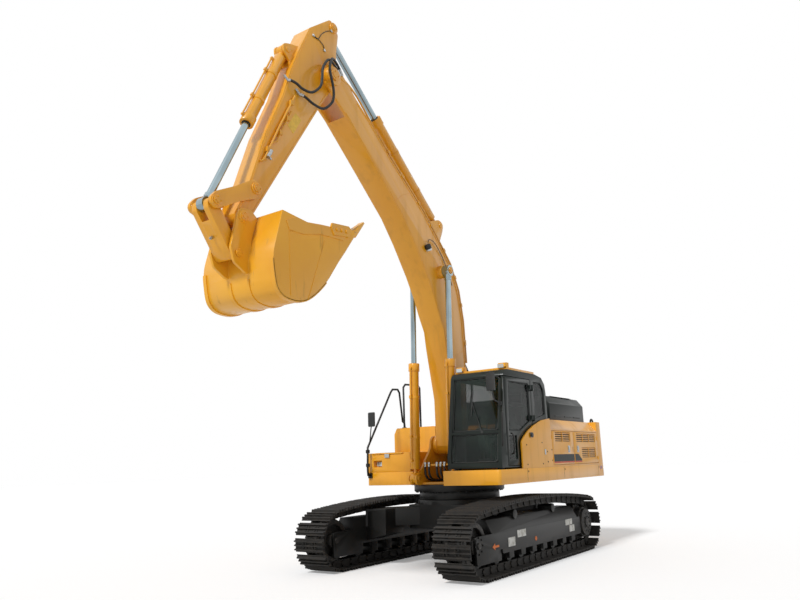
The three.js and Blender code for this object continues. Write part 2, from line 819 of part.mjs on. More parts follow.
const QUARTER_PANEL = [
  [COWL_FRONT - 10, DECK_TOP + GAP],
  [470, DECK_TOP + GAP],
  [470, 1890],
  [440, 1935],
  [360, 1995],
  [180, 2095],
  [-50, 2190],
  [-350, 2275],
  [-690, 2318],
  [COWL_FRONT - 10, 2130],
];
add("engine_cowl", cowl(), YELLOW);

// A side door: a flat panel with recessed louvre fields.
function sideDoor([x0, x1], side, fields) {
  const faces = (a, b) => [side * a, side * b].sort((p, q) => p - q);
  const panel = block(x0, x1, ...faces(HALF_WIDTH - DOOR_SHEET, HALF_WIDTH), ...DOOR_Z);
  const recesses = fields.map(([fx0, fx1, z0, z1]) =>
    block(fx0, fx1, ...faces(HALF_WIDTH - 18, HALF_WIDTH + 10), z0, z1),
  );
  return cut(panel, recesses);
}
add("left_door_front", sideDoor(LEFT_DOOR_FRONT, 1, [[-1540, -870, 1925, 2086]]), YELLOW);
add(
  "left_door_rear",
  sideDoor(LEFT_DOOR_REAR, 1, [
    [-2820, -1860, 1924, 2075],
    [-2800, -2090, 1633, 1817],
  ]),
  YELLOW,
);
add("right_door", sideDoor(RIGHT_DOOR, -1, [[-2820, -1860, 1924, 2075]]), YELLOW);

function hood() {
  const section = (side, top) => [
    [side, HOOD_Z[0]],
    [side, top - 150],
    [side - 120, top],
    [-side + 120, top],
    [-side, top - 150],
    [-side, HOOD_Z[0]],
  ];
  const outer = plateYZ(section(HOOD_HALF, HOOD_Z[1]), ...HOOD_X);
  const noseCut = plateXZ(
    [
      [HOOD_X[1] - 110, HOOD_Z[1] + 10],
      [HOOD_X[1] + 10, HOOD_Z[1] - 130],
      [HOOD_X[1] + 10, HOOD_Z[1] + 10],
    ],
    -HOOD_HALF - 1,
    HOOD_HALF + 1,
  );
  const inner = plateYZ(section(HOOD_HALF - 25, HOOD_Z[1] - 25), HOOD_X[0] + 25, HOOD_X[1] - 25);
  const innerNose = noseCut.translate(-35, 0, -10);
  const pocket = cut(inner, innerNose).translate(0, 0, -0.01);
  const lip = block(HOOD_X[0] + 25, HOOD_X[1] - 25, -HOOD_HALF + 25, HOOD_HALF - 25, 2300, HOOD_Z[0] + 1);
  return cut(outer, noseCut, pocket, lip);
}
add("engine_hood", hood(), BLACK);

// Heavy masses and the things behind the doors.
add(
  "engine",
  join(
    block(-2800, -1900, -560, 760, 1560, 2230),
    block(-2650, -2050, 760, 860, 1750, 2100),
    block(-2780, -2700, -520, 700, DECK_TOP + GAP, 1561),
    block(-2000, -1920, -520, 700, DECK_TOP + GAP, 1561),
  ),
  STEEL,
);
add("radiator", block(-2880, -1780, 1130, 1330, DECK_TOP + GAP, 2080), BLACK);
add(
  "air_cleaner",
  join(
    bar([-1560, 1180, 1850], [-860, 1180, 1850], 150, 20),
    bar([-1590, 1180, 1850], [-1555, 1180, 1850], 120, 20),
    block(-1450, -1380, 1080, 1280, DECK_TOP + GAP, 1760),
    block(-1040, -970, 1080, 1280, DECK_TOP + GAP, 1760),
  ),
  BLACK,
);
add(
  "swing_drive",
  join(
    bar([-850, 0, 1306 + GAP], [-850, 0, 1760], 190, 20),
    bar([-850, 0, 1750], [-850, 0, 1980], 130, 20),
    block(-960, -740, -90, 90, 1950, 2060),
  ),
  BLACK,
);
add(
  "control_valve",
  join(
    block(-330, -90, -270, 270, 1470, 1860),
    block(-310, -110, -230, 230, 1306 + GAP, 1480),
    [-180, -60, 60, 180].map((y) => bar([-210, y, 1850], [-210, y, 1910], 38, 8)),
  ),
  BLACK,
);

// ---------------------------------------------------------------- tanks, tool box and rails on the right
const RIGHT_SIDE = -HALF_WIDTH + 10;
const TANK_IN = -550;

function tank(x0, x1, top) {
  const section = [
    [RIGHT_SIDE, DECK_TOP + GAP],
    [TANK_IN, DECK_TOP + GAP],
    [TANK_IN, top, 40],
    [RIGHT_SIDE + 60, top, 30],
    [RIGHT_SIDE, top - 110, 30],
  ];
  return plateYZ(section, x0, x1);
}
add(
  "fuel_tank",
  join(tank(-800, -150, 2290), bar([-420, -1180, 2280], [-420, -1180, 2345], 70, 16)),
  YELLOW,
);
add(
  "hydraulic_tank",
  join(tank(-1380, -806, 2250), bar([-1080, -900, 2240], [-1080, -900, 2300], 110, 16)),
  YELLOW,
);

const BOX_FRONT = 695;
const BOX_REAR = -140;
const BOX_TOP = 1800;
const BOX_WALL = 25;
const LID_Y = [-1370, -700];

function toolBox() {
  const outer = block(BOX_REAR, BOX_FRONT, RIGHT_SIDE, TANK_IN, DECK_TOP + GAP, BOX_TOP + BOX_WALL);
  const inner = block(
    BOX_REAR + BOX_WALL,
    BOX_FRONT - BOX_WALL,
    RIGHT_SIDE + BOX_WALL,
    TANK_IN - BOX_WALL,
    DECK_TOP + GAP + BOX_WALL,
    BOX_TOP,
  );
  const hole = block(BOX_REAR + 40, BOX_FRONT - 45, LID_Y[0] + 30, LID_Y[1] - 30, BOX_TOP - 10, 1900);
  const rebate = block(BOX_REAR - 1, BOX_FRONT + 1, LID_Y[0] - 6, LID_Y[1] + 6, BOX_TOP, 1900);
  // The working lamp's recess stays closed on the inside.
  const lampBox = block(BOX_FRONT - 110, BOX_FRONT - 10, -1370, -1150, 1560, 1700);
  const recess = block(BOX_FRONT - 90, BOX_FRONT + 10, -1350, -1170, 1580, 1690);
  return cut(join(cut(outer, inner), lampBox), hole, rebate, recess);
}
add("tool_box", toolBox(), YELLOW);
add(
  "tool_box_lid",
  block(BOX_REAR + 8, BOX_FRONT + 15, ...LID_Y, BOX_TOP + GAP, BOX_TOP + BOX_WALL),
  YELLOW,
);

const RAIL_PIPE = 19;
const OUTER_RAIL_Y = -1415;
const INNER_RAIL_Y = -1280;
const TANK_TOP = 2290;

function outerRail() {
  const y = OUTER_RAIL_Y;
  const line = [
    [RIGHT_FRONT + 20, y, 1440],
    [RIGHT_FRONT + 80, y, 1450],
    [RIGHT_FRONT + 90, y, 1560],
    [RIGHT_FRONT + 80, y, 1930],
    [40, y, 2970],
    [-20, y, 3030],
    [-190, y, 3040],
    [-245, y, 2980],
    [-300, y, 2620],
    [-330, y, 2430],
    [-390, y, 2390],
    [-400, y, TANK_TOP + 10],
  ];
  return join(
    rail(line, RAIL_PIPE),
    block(RIGHT_FRONT + GAP, RIGHT_FRONT + 30, y - 40, y + 40, 1395, 1485),
    block(-440, -360, y - 30, y + 30, TANK_TOP + GAP, TANK_TOP + 12),
  );
}
add("outer_handrail", outerRail(), BLACK);

function innerRail() {
  const y = INNER_RAIL_Y;
  const line = [
    [-195, y, TANK_TOP + 10],
    [-195, y, 3070],
    [-260, y, 3130],
    [-700, y, 3145],
    [-760, y, 3090],
    [-760, y, TANK_TOP + 10],
  ];
  return join(
    rail(line, RAIL_PIPE),
    block(-235, -158, y - 30, y + 30, TANK_TOP + GAP, TANK_TOP + 12),
    block(-790, -725, y - 30, y + 30, TANK_TOP + GAP, TANK_TOP + 12),
  );
}
add("inner_handrail", innerRail(), BLACK);

// ---------------------------------------------------------------- cab
const CAB_RIGHT = CAB_LEFT - CAB_WIDTH;
const FRAME_BAR = 70; // width of the bars round the windows

// The front's lean: x of the cab's front face at a height.
function frontAt(z) {
  return CAB_FRONT - (CAB_RAKE * Math.max(z - 1700, 0)) / (CAB_ROOF - 1700);
}

const ROOF_FRONT = 2980;
const CAB_SIDE = [
  [CAB_REAR, CAB_FLOOR],
  [CAB_FRONT, CAB_FLOOR],
  [CAB_FRONT, 1700],
  [frontAt(ROOF_FRONT), ROOF_FRONT],
  [frontAt(ROOF_FRONT) - 50, CAB_ROOF - 20],
  [frontAt(ROOF_FRONT) - 110, CAB_ROOF],
  [CAB_REAR + 420, CAB_ROOF],
  [CAB_REAR + 150, CAB_ROOF - 40],
  [CAB_REAR + 30, CAB_ROOF - 150],
  [CAB_REAR, CAB_ROOF - 300],
];
const WINDSCREEN_Z = [2090, 2950];
const LOWER_SCREEN_Z = [1600, 2045];
const SCREEN_Y = [CAB_RIGHT + FRAME_BAR, CAB_LEFT - FRAME_BAR];
const LEFT_WINDOW = [
  [-600, 2390],
  [-180, 2290],
  [-180, 2930],
  [-480, 2930],
  [-600, 2800],
];
const RIGHT_WINDOW = [
  [-560, 2140],
  [700, 2140],
  [700, 2930],
  [-480, 2930],
  [-560, 2840],
];
const REAR_WINDOW = { y: [CAB_RIGHT + 79, CAB_LEFT - 79], z: [2360, 2720] };
const DOOR_EDGE = [
  [DOOR_FRONT, 1545],
  [DOOR_FRONT, 2945],
  [DOOR_REAR, 2945],
  [DOOR_REAR, 2205],
  [175, 2113],
  [362, 2010],
  [450, 1948],
  [486, 1893],
  [486, 1545],
];
const HINGE_LINE = [DOOR_REAR - 12, CAB_LEFT + DOOR_HINGE_OUT];
const HINGES_Z = [2310, 2820];
const DOOR_THICK = 45;
const DOOR_SEAM = 10;
const LEFT_WALL = [CAB_LEFT - CAB_WALL - 10, CAB_LEFT + 10];
const RIGHT_WALL = [CAB_RIGHT - 10, CAB_RIGHT + CAB_WALL + 10];

function cabFrame() {
  const shell = cut(
    plateXZ(CAB_SIDE, CAB_RIGHT, CAB_LEFT),
    plateXZ(offsetPath(CAB_SIDE, CAB_WALL, true), CAB_RIGHT + CAB_WALL, CAB_LEFT - CAB_WALL),
  );
  const openings = [
    block(800, 1200, ...SCREEN_Y, ...WINDSCREEN_Z),
    block(800, 1200, ...SCREEN_Y, ...LOWER_SCREEN_Z),
    plateXZ(LEFT_WINDOW, ...LEFT_WALL),
    plateXZ(RIGHT_WINDOW, ...RIGHT_WALL),
    block(CAB_REAR - 10, CAB_REAR + CAB_WALL + 10, ...REAR_WINDOW.y, ...REAR_WINDOW.z),
    plateXZ(offsetPath(DOOR_EDGE, -DOOR_SEAM, true), ...LEFT_WALL),
    block(-150, 550, CAB_RIGHT + 180, CAB_LEFT - 180, CAB_ROOF - 80, CAB_ROOF + 10),
  ];
  const feet = [-560, 960].flatMap((x) =>
    [CAB_RIGHT + 90, CAB_LEFT - 110].map((y) =>
      bar([x, y, DECK_TOP + GAP], [x, y, CAB_FLOOR + 5], 55, 10),
    ),
  );
  const [hx, hy] = HINGE_LINE;
  const knuckles = HINGES_Z.map((z) =>
    join(
      bar([hx, hy, z - 62], [hx, hy, z - 40 - GAP], 16, 8),
      block(hx - 50, hx, CAB_LEFT + 28, CAB_LEFT + 38, z - 60, z - 42),
      block(hx - 50, hx - 22, CAB_LEFT - 1, CAB_LEFT + 30, z - 60, z - 42),
    ),
  );
  return join(cut(shell, openings), feet, knuckles);
}
add("cab_frame", cabFrame(), CAB_GREEN);
add("roof_hatch", block(-180, 580, CAB_RIGHT + 150, CAB_LEFT - 150, CAB_ROOF + GAP, CAB_ROOF + 30), CAB_GREEN);

const UPPER_DOOR_WINDOW = [
  [20, 2265],
  [430, 2085],
  [820, 2085],
  [760, 2880],
  [20, 2880],
];
const LOWER_DOOR_WINDOW = [
  [560, 1640],
  [835, 1640],
  [835, 2010],
  [560, 2010],
];

function cabDoor() {
  const panel = plateXZ(DOOR_EDGE, CAB_LEFT - DOOR_THICK, CAB_LEFT);
  const hinges = HINGES_Z.map((z) =>
    join(
      bar([...HINGE_LINE, z - 40], [...HINGE_LINE, z + 40], 16, 8),
      block(DOOR_REAR - 12, DOOR_REAR + 60, CAB_LEFT + 28, CAB_LEFT + 38, z - 35, z + 35),
      block(DOOR_REAR + 8, DOOR_REAR + 60, CAB_LEFT - 1, CAB_LEFT + 30, z - 35, z + 35),
    ),
  );
  return cut(
    join(panel, hinges),
    plateXZ(UPPER_DOOR_WINDOW, ...LEFT_WALL),
    plateXZ(LOWER_DOOR_WINDOW, ...LEFT_WALL),
  );
}
add("cab_door", cabDoor(), CAB_GREEN);

// A pane that fills an opening of a flat wall.
function pane(points, y0) {
  return plateXZ(offsetPath(points, GAP, true), y0, y0 + GLASS);
}
add("door_glass", pane(UPPER_DOOR_WINDOW, CAB_LEFT - 25), GLAZING);
add("lower_door_glass", pane(LOWER_DOOR_WINDOW, CAB_LEFT - 25), GLAZING);
add("left_glass", pane(LEFT_WINDOW, CAB_LEFT - 25), GLAZING);
add("right_glass", pane(RIGHT_WINDOW, CAB_RIGHT + 17), GLAZING);
add(
  "rear_glass",
  block(
    CAB_REAR + 17,
    CAB_REAR + 17 + GLASS,
    REAR_WINDOW.y[0] + GAP,
    REAR_WINDOW.y[1] - GAP,
    REAR_WINDOW.z[0] + GAP,
    REAR_WINDOW.z[1] - GAP,
  ),
  GLAZING,
);

function frontPane([z0, z1], back) {
  const low = z0 + GAP;
  const high = z1 - GAP;
  const line = [low, Math.max(low, 1700), high].map((z) => [frontAt(z) - back, z]);
  const away = [...line].reverse().map(([x, z]) => [x - GLASS, z]);
  return plateXZ([...line, ...away], SCREEN_Y[0] + GAP, SCREEN_Y[1] - GAP);
}
add("windscreen", frontPane(WINDSCREEN_Z, 20), GLAZING);
add("lower_windscreen", frontPane(LOWER_SCREEN_Z, 20), GLAZING);

const CAB_FLOOR_IN = CAB_FLOOR + CAB_WALL;
const RIGHT_BOX = [CAB_RIGHT + 99, CAB_RIGHT + 239]; // consoles beside the seat
const LEFT_BOX = [CAB_LEFT - 183, CAB_LEFT - 93];
const SEAT_Y = (RIGHT_BOX[1] + LEFT_BOX[0]) / 2;
const SEAT_HALF = (LEFT_BOX[0] - RIGHT_BOX[1]) / 2 - 25;

function seat() {
  const y = (half) => [SEAT_Y - half, SEAT_Y + half];
  return join(
    block(-260, 160, ...y(SEAT_HALF - 65), CAB_FLOOR_IN + GAP, CAB_FLOOR_IN + 120),
    block(-200, 100, ...y(SEAT_HALF - 135), CAB_FLOOR_IN + 110, CAB_FLOOR_IN + 330),
    plateXZ(
      [
        [-300, 1890],
        [230, 1890, 40],
        [230, 2020, 50],
        [-170, 2000],
        [-330, 2590, 60],
        [-430, 2560, 40],
      ],
      ...y(SEAT_HALF),
    ),
    plateXZ(
      [
        [-420, 2560],
        [-330, 2560],
        [-350, 2790, 40],
        [-450, 2780, 40],
      ],
      ...y(SEAT_HALF - 115),
    ),
  );
}
add("seat", seat(), FABRIC);

function cabConsole() {
  const sideBox = (y0, y1) =>
    plateXZ(
      [
        [-420, CAB_FLOOR_IN + GAP],
        [180, CAB_FLOOR_IN + GAP],
        [330, 2150, 30],
        [240, 2180, 30],
        [-420, 2080, 40],
      ],
      y0,
      y1,
    );
  const lever = (y) =>
    join(bar([265, y, 2120], [290, y, 2280], 14, 6), bar([288, y, 2260], [302, y, 2370], 24, 6));
  const post = plateXZ(
    [
      [930, CAB_FLOOR_IN + GAP],
      [1010, CAB_FLOOR_IN + GAP],
      [960, 2060, 20],
      [900, 2060, 20],
    ],
    CAB_RIGHT + 79,
    CAB_RIGHT + 279,
  );
  const floor = block(-440, 1015, CAB_RIGHT + 79, CAB_LEFT - 78, CAB_FLOOR_IN + GAP, CAB_FLOOR_IN + 15);
  const hole = SEAT_HALF - 55;
  const seatHole = block(-270, 170, SEAT_Y - hole, SEAT_Y + hole, CAB_FLOOR_IN - 10, CAB_FLOOR_IN + 30);
  const pedals = [SEAT_Y - 60, SEAT_Y + 60].map((y) =>
    join(
      bar([760, y, CAB_FLOOR_IN + 5], [700, y, CAB_FLOOR_IN + 330], 12, 6),
      plateXZ(
        [
          [720, CAB_FLOOR_IN + 8],
          [860, CAB_FLOOR_IN + 60],
          [850, CAB_FLOOR_IN + 85],
          [715, CAB_FLOOR_IN + 30],
        ],
        y - 45,
        y + 45,
      ),
    ),
  );
  return join(
    cut(floor, seatHole),
    sideBox(...RIGHT_BOX),
    sideBox(...LEFT_BOX),
    lever((RIGHT_BOX[0] + RIGHT_BOX[1]) / 2),
    lever((LEFT_BOX[0] + LEFT_BOX[1]) / 2),
    post,
    pedals,
  );
}
add("cab_console", cabConsole(), RUBBER);

function roofLamps() {
  const front = frontAt(ROOF_FRONT) - 110;
  const visor = block(front - 120, front - 20, CAB_RIGHT + 20, CAB_LEFT, CAB_ROOF + GAP, CAB_ROOF + 35);
  const lamps = [CAB_RIGHT + 130, CAB_LEFT - 60].map((y) =>
    join(
      block(front - 110, front - 30, y - 80, y + 60, CAB_ROOF + 30, CAB_ROOF + 110),
      block(front - 35, front + 10, y - 75, y + 55, CAB_ROOF + 40, CAB_ROOF + 105),
    ),
  );
  const leftEdge = block(-250, front - 100, CAB_LEFT - 50, CAB_LEFT, CAB_ROOF + GAP, CAB_ROOF + 35);
  return join(visor, lamps, leftEdge);
}
add("roof_lamps", roofLamps(), YELLOW);

add(
  "cab_mirror",
  join(
    rail(
      [
        [frontAt(2500) + 22, CAB_LEFT - 35, 2500],
        [1180, CAB_LEFT - 35, 2540],
        [1225, CAB_LEFT - 35, 2620],
        [1225, CAB_LEFT - 60, 3000],
      ],
      12,
    ),
    block(1215, 1260, CAB_LEFT - 125, CAB_LEFT + 10, 2690, 2970),
    block(frontAt(2470) + GAP, frontAt(2530) + 40, CAB_LEFT - 60, CAB_LEFT - 10, 2470, 2530),
  ),
  BLACK,
);

// ---------------------------------------------------------------- boom, arm and bucket
const onBoom = leaning(BOOM_FOOT_X, BOOM_FOOT_Z, BOOM_ANGLE);
const TIP = onBoom([BOOM_LENGTH, 0]);
const onArm = leaning(...TIP, ARM_ANGLE);
const BUCKET_PIN = onArm([ARM_LENGTH, 0]);
const onBucket = leaning(...BUCKET_PIN, 0);
const TIP_PIN = 50;
const ROD_EYE_GAP = 8; // each side of a cylinder's eye

// A pin through a set of plates, and the hole that turns on it.
function boreY([x, z], pinRadius, half) {
  return pinY(x, z, boreFor(pinRadius, 12), -half, half, 12, Math.PI / 12);
}

function pin([x, z], radius, half) {
  return pinY(x, z, radius, -half, half, 12);
}

const BOOM_LOWER = [
  [756, 258],
  [1613, 554],
  [1900, 674],
  [2220, 690],
  [2500, 725],
  [2950, 730],
  [3570, 690],
  [4075, 620],
  [BOOM_LENGTH - 1537, 360],
  [BOOM_LENGTH - 577, 60],
];
const BOOM_UPPER = [
  [BOOM_LENGTH - 398, 480],
  [BOOM_LENGTH - 776, 638],
  [BOOM_LENGTH - 1478, 871],
  [4301, 1155],
  [3885, 1325],
  [3387, 1454],
  [2789, 1600],
  [2281, 1566],
  [1757, 1373],
  [1000, 945],
];

function boom() {
  const half = BOOM_WIDTH / 2;
  const body = plateXZ(
    onBoom([
      [60, -165, 60],
      ...BOOM_LOWER,
      [BOOM_LENGTH - 77, -150, 80],
      [BOOM_LENGTH + 163, -110, 100],
      [BOOM_LENGTH + 203, 130, 100],
      [BOOM_LENGTH + 3, 345, 80],
      ...BOOM_UPPER,
      [-60, 190, 100],
      [-175, 40, 80],
      [-120, -140, 80],
    ]),
    -half,
    half,
  );
  const fork = plateXZ(
    onBoom([
      [BOOM_LENGTH - 527, -300],
      [BOOM_LENGTH + 423, -300],
      [BOOM_LENGTH + 423, 700],
      [BOOM_LENGTH - 777, 700],
    ]),
    -ARM_WIDTH / 2 - RUN,
    ARM_WIDTH / 2 + RUN,
  );
  const footBoss = pinY(BOOM_FOOT_X, BOOM_FOOT_Z, 165, -BOOM_FOOT_WIDTH / 2, BOOM_FOOT_WIDTH / 2, 20);
  const tipBoss = [-1, 1].map((side) => {
    const faces = [side * (half - 20), side * BOOM_PIN_OUT].sort((a, b) => a - b);
    return pinY(...TIP, 150, ...faces, 16);
  });
  const liftAt = onBoom([LIFT_EYE_S, LIFT_EYE_N]);
  const liftBoss = pinY(...liftAt, 115, -LIFT_Y + LIFT_EYE_OUT + 6, LIFT_Y - LIFT_EYE_OUT - 6, 16);
  const ears = [-1, 1].map((side) => {
    const faces = [side * (CROWD_EYE + ROD_EYE_GAP), side * (CROWD_EYE + ROD_EYE_GAP + 45)];
    return plateXZ(
      onBoom([
        [3130, 1480],
        [3850, 1300],
        [3700, 1500],
        [3610, 1880, 80],
        [3500, 2010, 80],
        [3380, 1880, 80],
      ]),
      ...faces.sort((a, b) => a - b),
    );
  });
  const crowdPin = pin(onBoom([CROWD_FOOT_S, CROWD_FOOT_N]), 50, CROWD_EYE + ROD_EYE_GAP + 60);
  const tipPin = pin(TIP, TIP_PIN, BOOM_PIN_OUT + 12);
  const footBore = boreY([BOOM_FOOT_X, BOOM_FOOT_Z], BOOM_FOOT_PIN, 400);
  return cut(join(cut(body, fork), footBoss, tipBoss, liftBoss, ears, crowdPin, tipPin), footBore);
}

// Half widths of the cylinders' eyes
const LIFT_EYE_OUT = 62;
const CROWD_EYE = 72;
const CURL_EYE = 56;
add("boom", boom(), YELLOW);

function between([x0, z0], [x1, z1]) {
  return Math.hypot(x1 - x0, z1 - z0);
}

// Barrel and rod of a cylinder that lies in an upright plane.
function barrel(foot, eye, y, spec) {
  const from = new THREE.Vector2(...foot);
  const along = new THREE.Vector2(...eye).sub(from).normalize();
  const at = (distance) => {
    const point = from.clone().addScaledVector(along, distance);
    return [point.x, y, point.y];
  };
  const tube = bar(at(spec.neck), at(spec.barrel), spec.radius, 20);
  const neck = bar(at(spec.footRadius * 0.5), at(spec.neck + 5), spec.footHalf - 4, 16);
  const gland = bar(at(spec.barrel - 130), at(spec.barrel), spec.radius + 14, 20);
  const bore = bar(
    at(spec.neck + 40),
    at(spec.barrel + 5),
    boreFor(spec.rod),
    16,
    Math.PI / 16,
  );
  const footEye = pinY(...foot, spec.footRadius, y - spec.footHalf, y + spec.footHalf, 20);
  const hole = pinY(...foot, boreFor(spec.pin, 12), y - 200, y + 200, 12, Math.PI / 12);
  return cut(join(tube, neck, gland, footEye), bore, hole);
}

function rod(foot, eye, y, spec) {
  const from = new THREE.Vector2(...eye);
  const along = new THREE.Vector2(...foot).sub(from).normalize();
  const at = (distance) => {
    const point = from.clone().addScaledVector(along, distance);
    return [point.x, y, point.y];
  };
  return join(
    bar(at(spec.rodLength), at(spec.eyeRadius * 0.5), spec.rod, 16),
    bar(at(spec.eyeRadius * 0.6), at(spec.eyeRadius + 70), spec.rod + 12, 16),
    pinY(...eye, spec.eyeRadius, y - spec.eyeHalf, y + spec.eyeHalf, 20),
  );
}

const LIFT_EYE = onBoom([LIFT_EYE_S, LIFT_EYE_N]);
const LIFT_BARREL = 1960;
const LIFT = {
  radius: BARREL_RADIUS,
  rod: ROD_RADIUS,
  barrel: LIFT_BARREL,
  rodLength: between([LIFT_FOOT_X, LIFT_FOOT_Z], LIFT_EYE) - LIFT_BARREL + 398,
  neck: BARREL_RADIUS + 66,
  footRadius: 85,
  footHalf: LIFT_EYE_HALF,
  pin: LIFT_PIN,
  eyeRadius: 100,
  eyeHalf: LIFT_EYE_OUT,
};
[
  ["left", 1],
  ["right", -1],
].forEach(([side, out]) => {
  const foot = [LIFT_FOOT_X, LIFT_FOOT_Z];
  add("lift_barrel_" + side, barrel(foot, LIFT_EYE, out * LIFT_Y, LIFT), YELLOW);
  add("lift_rod_" + side, rod(foot, LIFT_EYE, out * LIFT_Y, LIFT), CHROME);
});

const CROWD_FOOT = onBoom([CROWD_FOOT_S, CROWD_FOOT_N]);
const CROWD_EYE_AT = onArm([ARM_TAIL_S, ARM_TAIL_N]);
const CROWD_BARREL = 2314;
const CROWD = {
  radius: CROWD_BARREL_RADIUS,
  rod: CROWD_ROD_RADIUS,
  barrel: CROWD_BARREL,
  rodLength: between(CROWD_FOOT, CROWD_EYE_AT) - CROWD_BARREL + 445,
  neck: 190,
  footRadius: 105,
  footHalf: CROWD_EYE,
  pin: 50,
  eyeRadius: 105,
  eyeHalf: CROWD_EYE,
};
add("arm_barrel", barrel(CROWD_FOOT, CROWD_EYE_AT, 0, CROWD), YELLOW);
add("arm_rod", rod(CROWD_FOOT, CROWD_EYE_AT, 0, CROWD), CHROME);

const LEVER_PIN = 42;
const CURL_PIN = 45;

function arm() {
  const half = ARM_WIDTH / 2;
  const body = plateXZ(
    onArm([
      [-963, 490, 60],
      [-890, 240, 60],
      [-579, 106],
      [-440, 30],
      [-190, -120, 60],
      [0, -195, 60],
      [190, -150],
      [700, -136],
      [2954, -120],
      [3187, -112, 80],
      [3305, 0, 80],
      [3220, 110, 60],
      [2757, 147],
      [1883, 346],
      [1079, 451],
      [614, 560],
      [184, 631],
      [-358, 690, 80],
    ]),
    -half,
    half,
  );
  const tailFork = plateXZ(
    onArm([
      [-1200, -200],
      [-560, -200],
      [-560, 900],
      [-1200, 900],
    ]),
    -CROWD_EYE - ROD_EYE_GAP,
    CROWD_EYE + ROD_EYE_GAP,
  );
  const tailBoss = [-1, 1].map((side) => {
    const faces = [side * (half - 10), side * (half + 25)].sort((a, b) => a - b);
    return pinY(...CROWD_EYE_AT, 85, ...faces, 14);
  });
  const ears = [-1, 1].map((side) => {
    const faces = [side * (CURL_EYE + ROD_EYE_GAP), side * (CURL_EYE + ROD_EYE_GAP + 36)];
    return plateXZ(
      onArm([
        [20, 600],
        [620, 520],
        [440, 620],
        [395, 790, 60],
        [310, 855, 60],
        [220, 790, 60],
      ]),
      ...faces.sort((a, b) => a - b),
    );
  });
  const curlPin = pin(onArm([CURL_FOOT_S, CURL_FOOT_N]), CURL_PIN, CURL_EYE + ROD_EYE_GAP + 50);
  return cut(
    join(cut(body, tailFork), tailBoss, ears, curlPin),
    boreY(TIP, TIP_PIN, 300),
    boreY(onArm([LEVER_PIN_S, LEVER_PIN_N]), LEVER_PIN, 300),
    boreY(BUCKET_PIN, BUCKET_PIN_RADIUS, 300),
  );
}
const BUCKET_PIN_RADIUS = 45;
const LINK_PIN_RADIUS = 42;
add("arm", arm(), YELLOW);

const CURL_FOOT = onArm([CURL_FOOT_S, CURL_FOOT_N]);
const LEVER_END = onArm([LEVER_END_S, LEVER_END_N]);
const CURL_BARREL = 1574;
const CURL = {
  radius: CURL_BARREL_RADIUS,
  rod: CURL_ROD_RADIUS,
  barrel: CURL_BARREL,
  rodLength: between(CURL_FOOT, LEVER_END) - CURL_BARREL + 145,
  neck: 150,
  footRadius: 92,
  footHalf: CURL_EYE,
  pin: CURL_PIN,
  eyeRadius: 88,
  eyeHalf: CURL_EYE,
};
add("bucket_barrel", barrel(CURL_FOOT, LEVER_END, 0, CURL), YELLOW);
add("bucket_rod", rod(CURL_FOOT, LEVER_END, 0, CURL), CHROME);

function tiltLevers() {
  const inner = ARM_WIDTH / 2 + RUN;
  const lever = plateXZ(
    onArm([
      [LEVER_PIN_S - 70, LEVER_PIN_N - 80, 50],
      [LEVER_PIN_S + 110, LEVER_PIN_N - 80, 60],
      [3060, 150],
      [LEVER_END_S + 85, LEVER_END_N - 60, 60],
      [LEVER_END_S + 60, LEVER_END_N + 95, 70],
      [LEVER_END_S - 100, LEVER_END_N + 70, 60],
      [2960, 320],
      [LEVER_PIN_S - 90, LEVER_PIN_N + 90, 60],
    ]),
    inner,
    inner + LEVER_THICK,
  );
  const boss = pinY(...onArm([LEVER_PIN_S, LEVER_PIN_N]), 80, inner, inner + LEVER_THICK + 20, 14);
  const endBoss = pinY(...LEVER_END, 75, inner - 8, inner + LEVER_THICK + 15, 14);
  const across = pin(onArm([LEVER_PIN_S, LEVER_PIN_N]), LEVER_PIN, inner + LEVER_THICK + 10);
  return join(bothSides(join(lever, boss, endBoss)), across);
}
add("tilt_levers", tiltLevers(), YELLOW);

// H-shaped link: a fork round the rod's eye at the top, one wide boss at the bucket, and a
// cover plate across its outer face.
function bucketLink() {
  const half = LINK_WIDTH / 2;
  const cover = plateXZ(
    onArm([
      [LEVER_END_S + 169, LEVER_END_N - 128],
      [LINK_END_S + 58, LINK_END_N + 50],
      [LINK_END_S + 34, LINK_END_N + 40],
      [LEVER_END_S + 145, LEVER_END_N - 138],
    ]),
    -CURL_EYE - ROD_EYE_GAP - 10,
    CURL_EYE + ROD_EYE_GAP + 10,
  );
  const body = plateXZ(
    onArm([
      [LEVER_END_S - 85, LEVER_END_N + 10, 70],
      [LEVER_END_S + 20, LEVER_END_N + 85, 70],
      [LEVER_END_S + 110, LEVER_END_N + 10, 60],
      [LINK_END_S + 80, LINK_END_N, 70],
      [LINK_END_S, LINK_END_N - 85, 70],
      [LINK_END_S - 90, LINK_END_N - 20, 70],
    ]),
    -half,
    half,
  );
  const slot = plateXZ(
    onArm([
      [LEVER_END_S - 300, LEVER_END_N + 300],
      [LEVER_END_S - 300, LEVER_END_N - 200],
      [LINK_END_S - 200, LINK_END_N + 190],
      [LINK_END_S + 200, LINK_END_N + 240],
      [LEVER_END_S + 300, LEVER_END_N + 300],
    ]),
    -CURL_EYE - ROD_EYE_GAP,
    CURL_EYE + ROD_EYE_GAP,
  );
  const bore = boreY(onArm([LINK_END_S, LINK_END_N]), LINK_PIN_RADIUS, 300);
  return cut(join(cut(body, slot), cover), bore);
}
add("bucket_link", bucketLink(), YELLOW);

// A rolled plate's line: smooth through its corners, and straight at its two ends.
function rolled(corners) {
  const curve = new THREE.SplineCurve(corners.slice(0, -2).map(([x, z]) => new THREE.Vector2(x, z)));
  return [...curve.getPoints(24).map((point) => [point.x, point.y]), ...corners.slice(-2)];
}

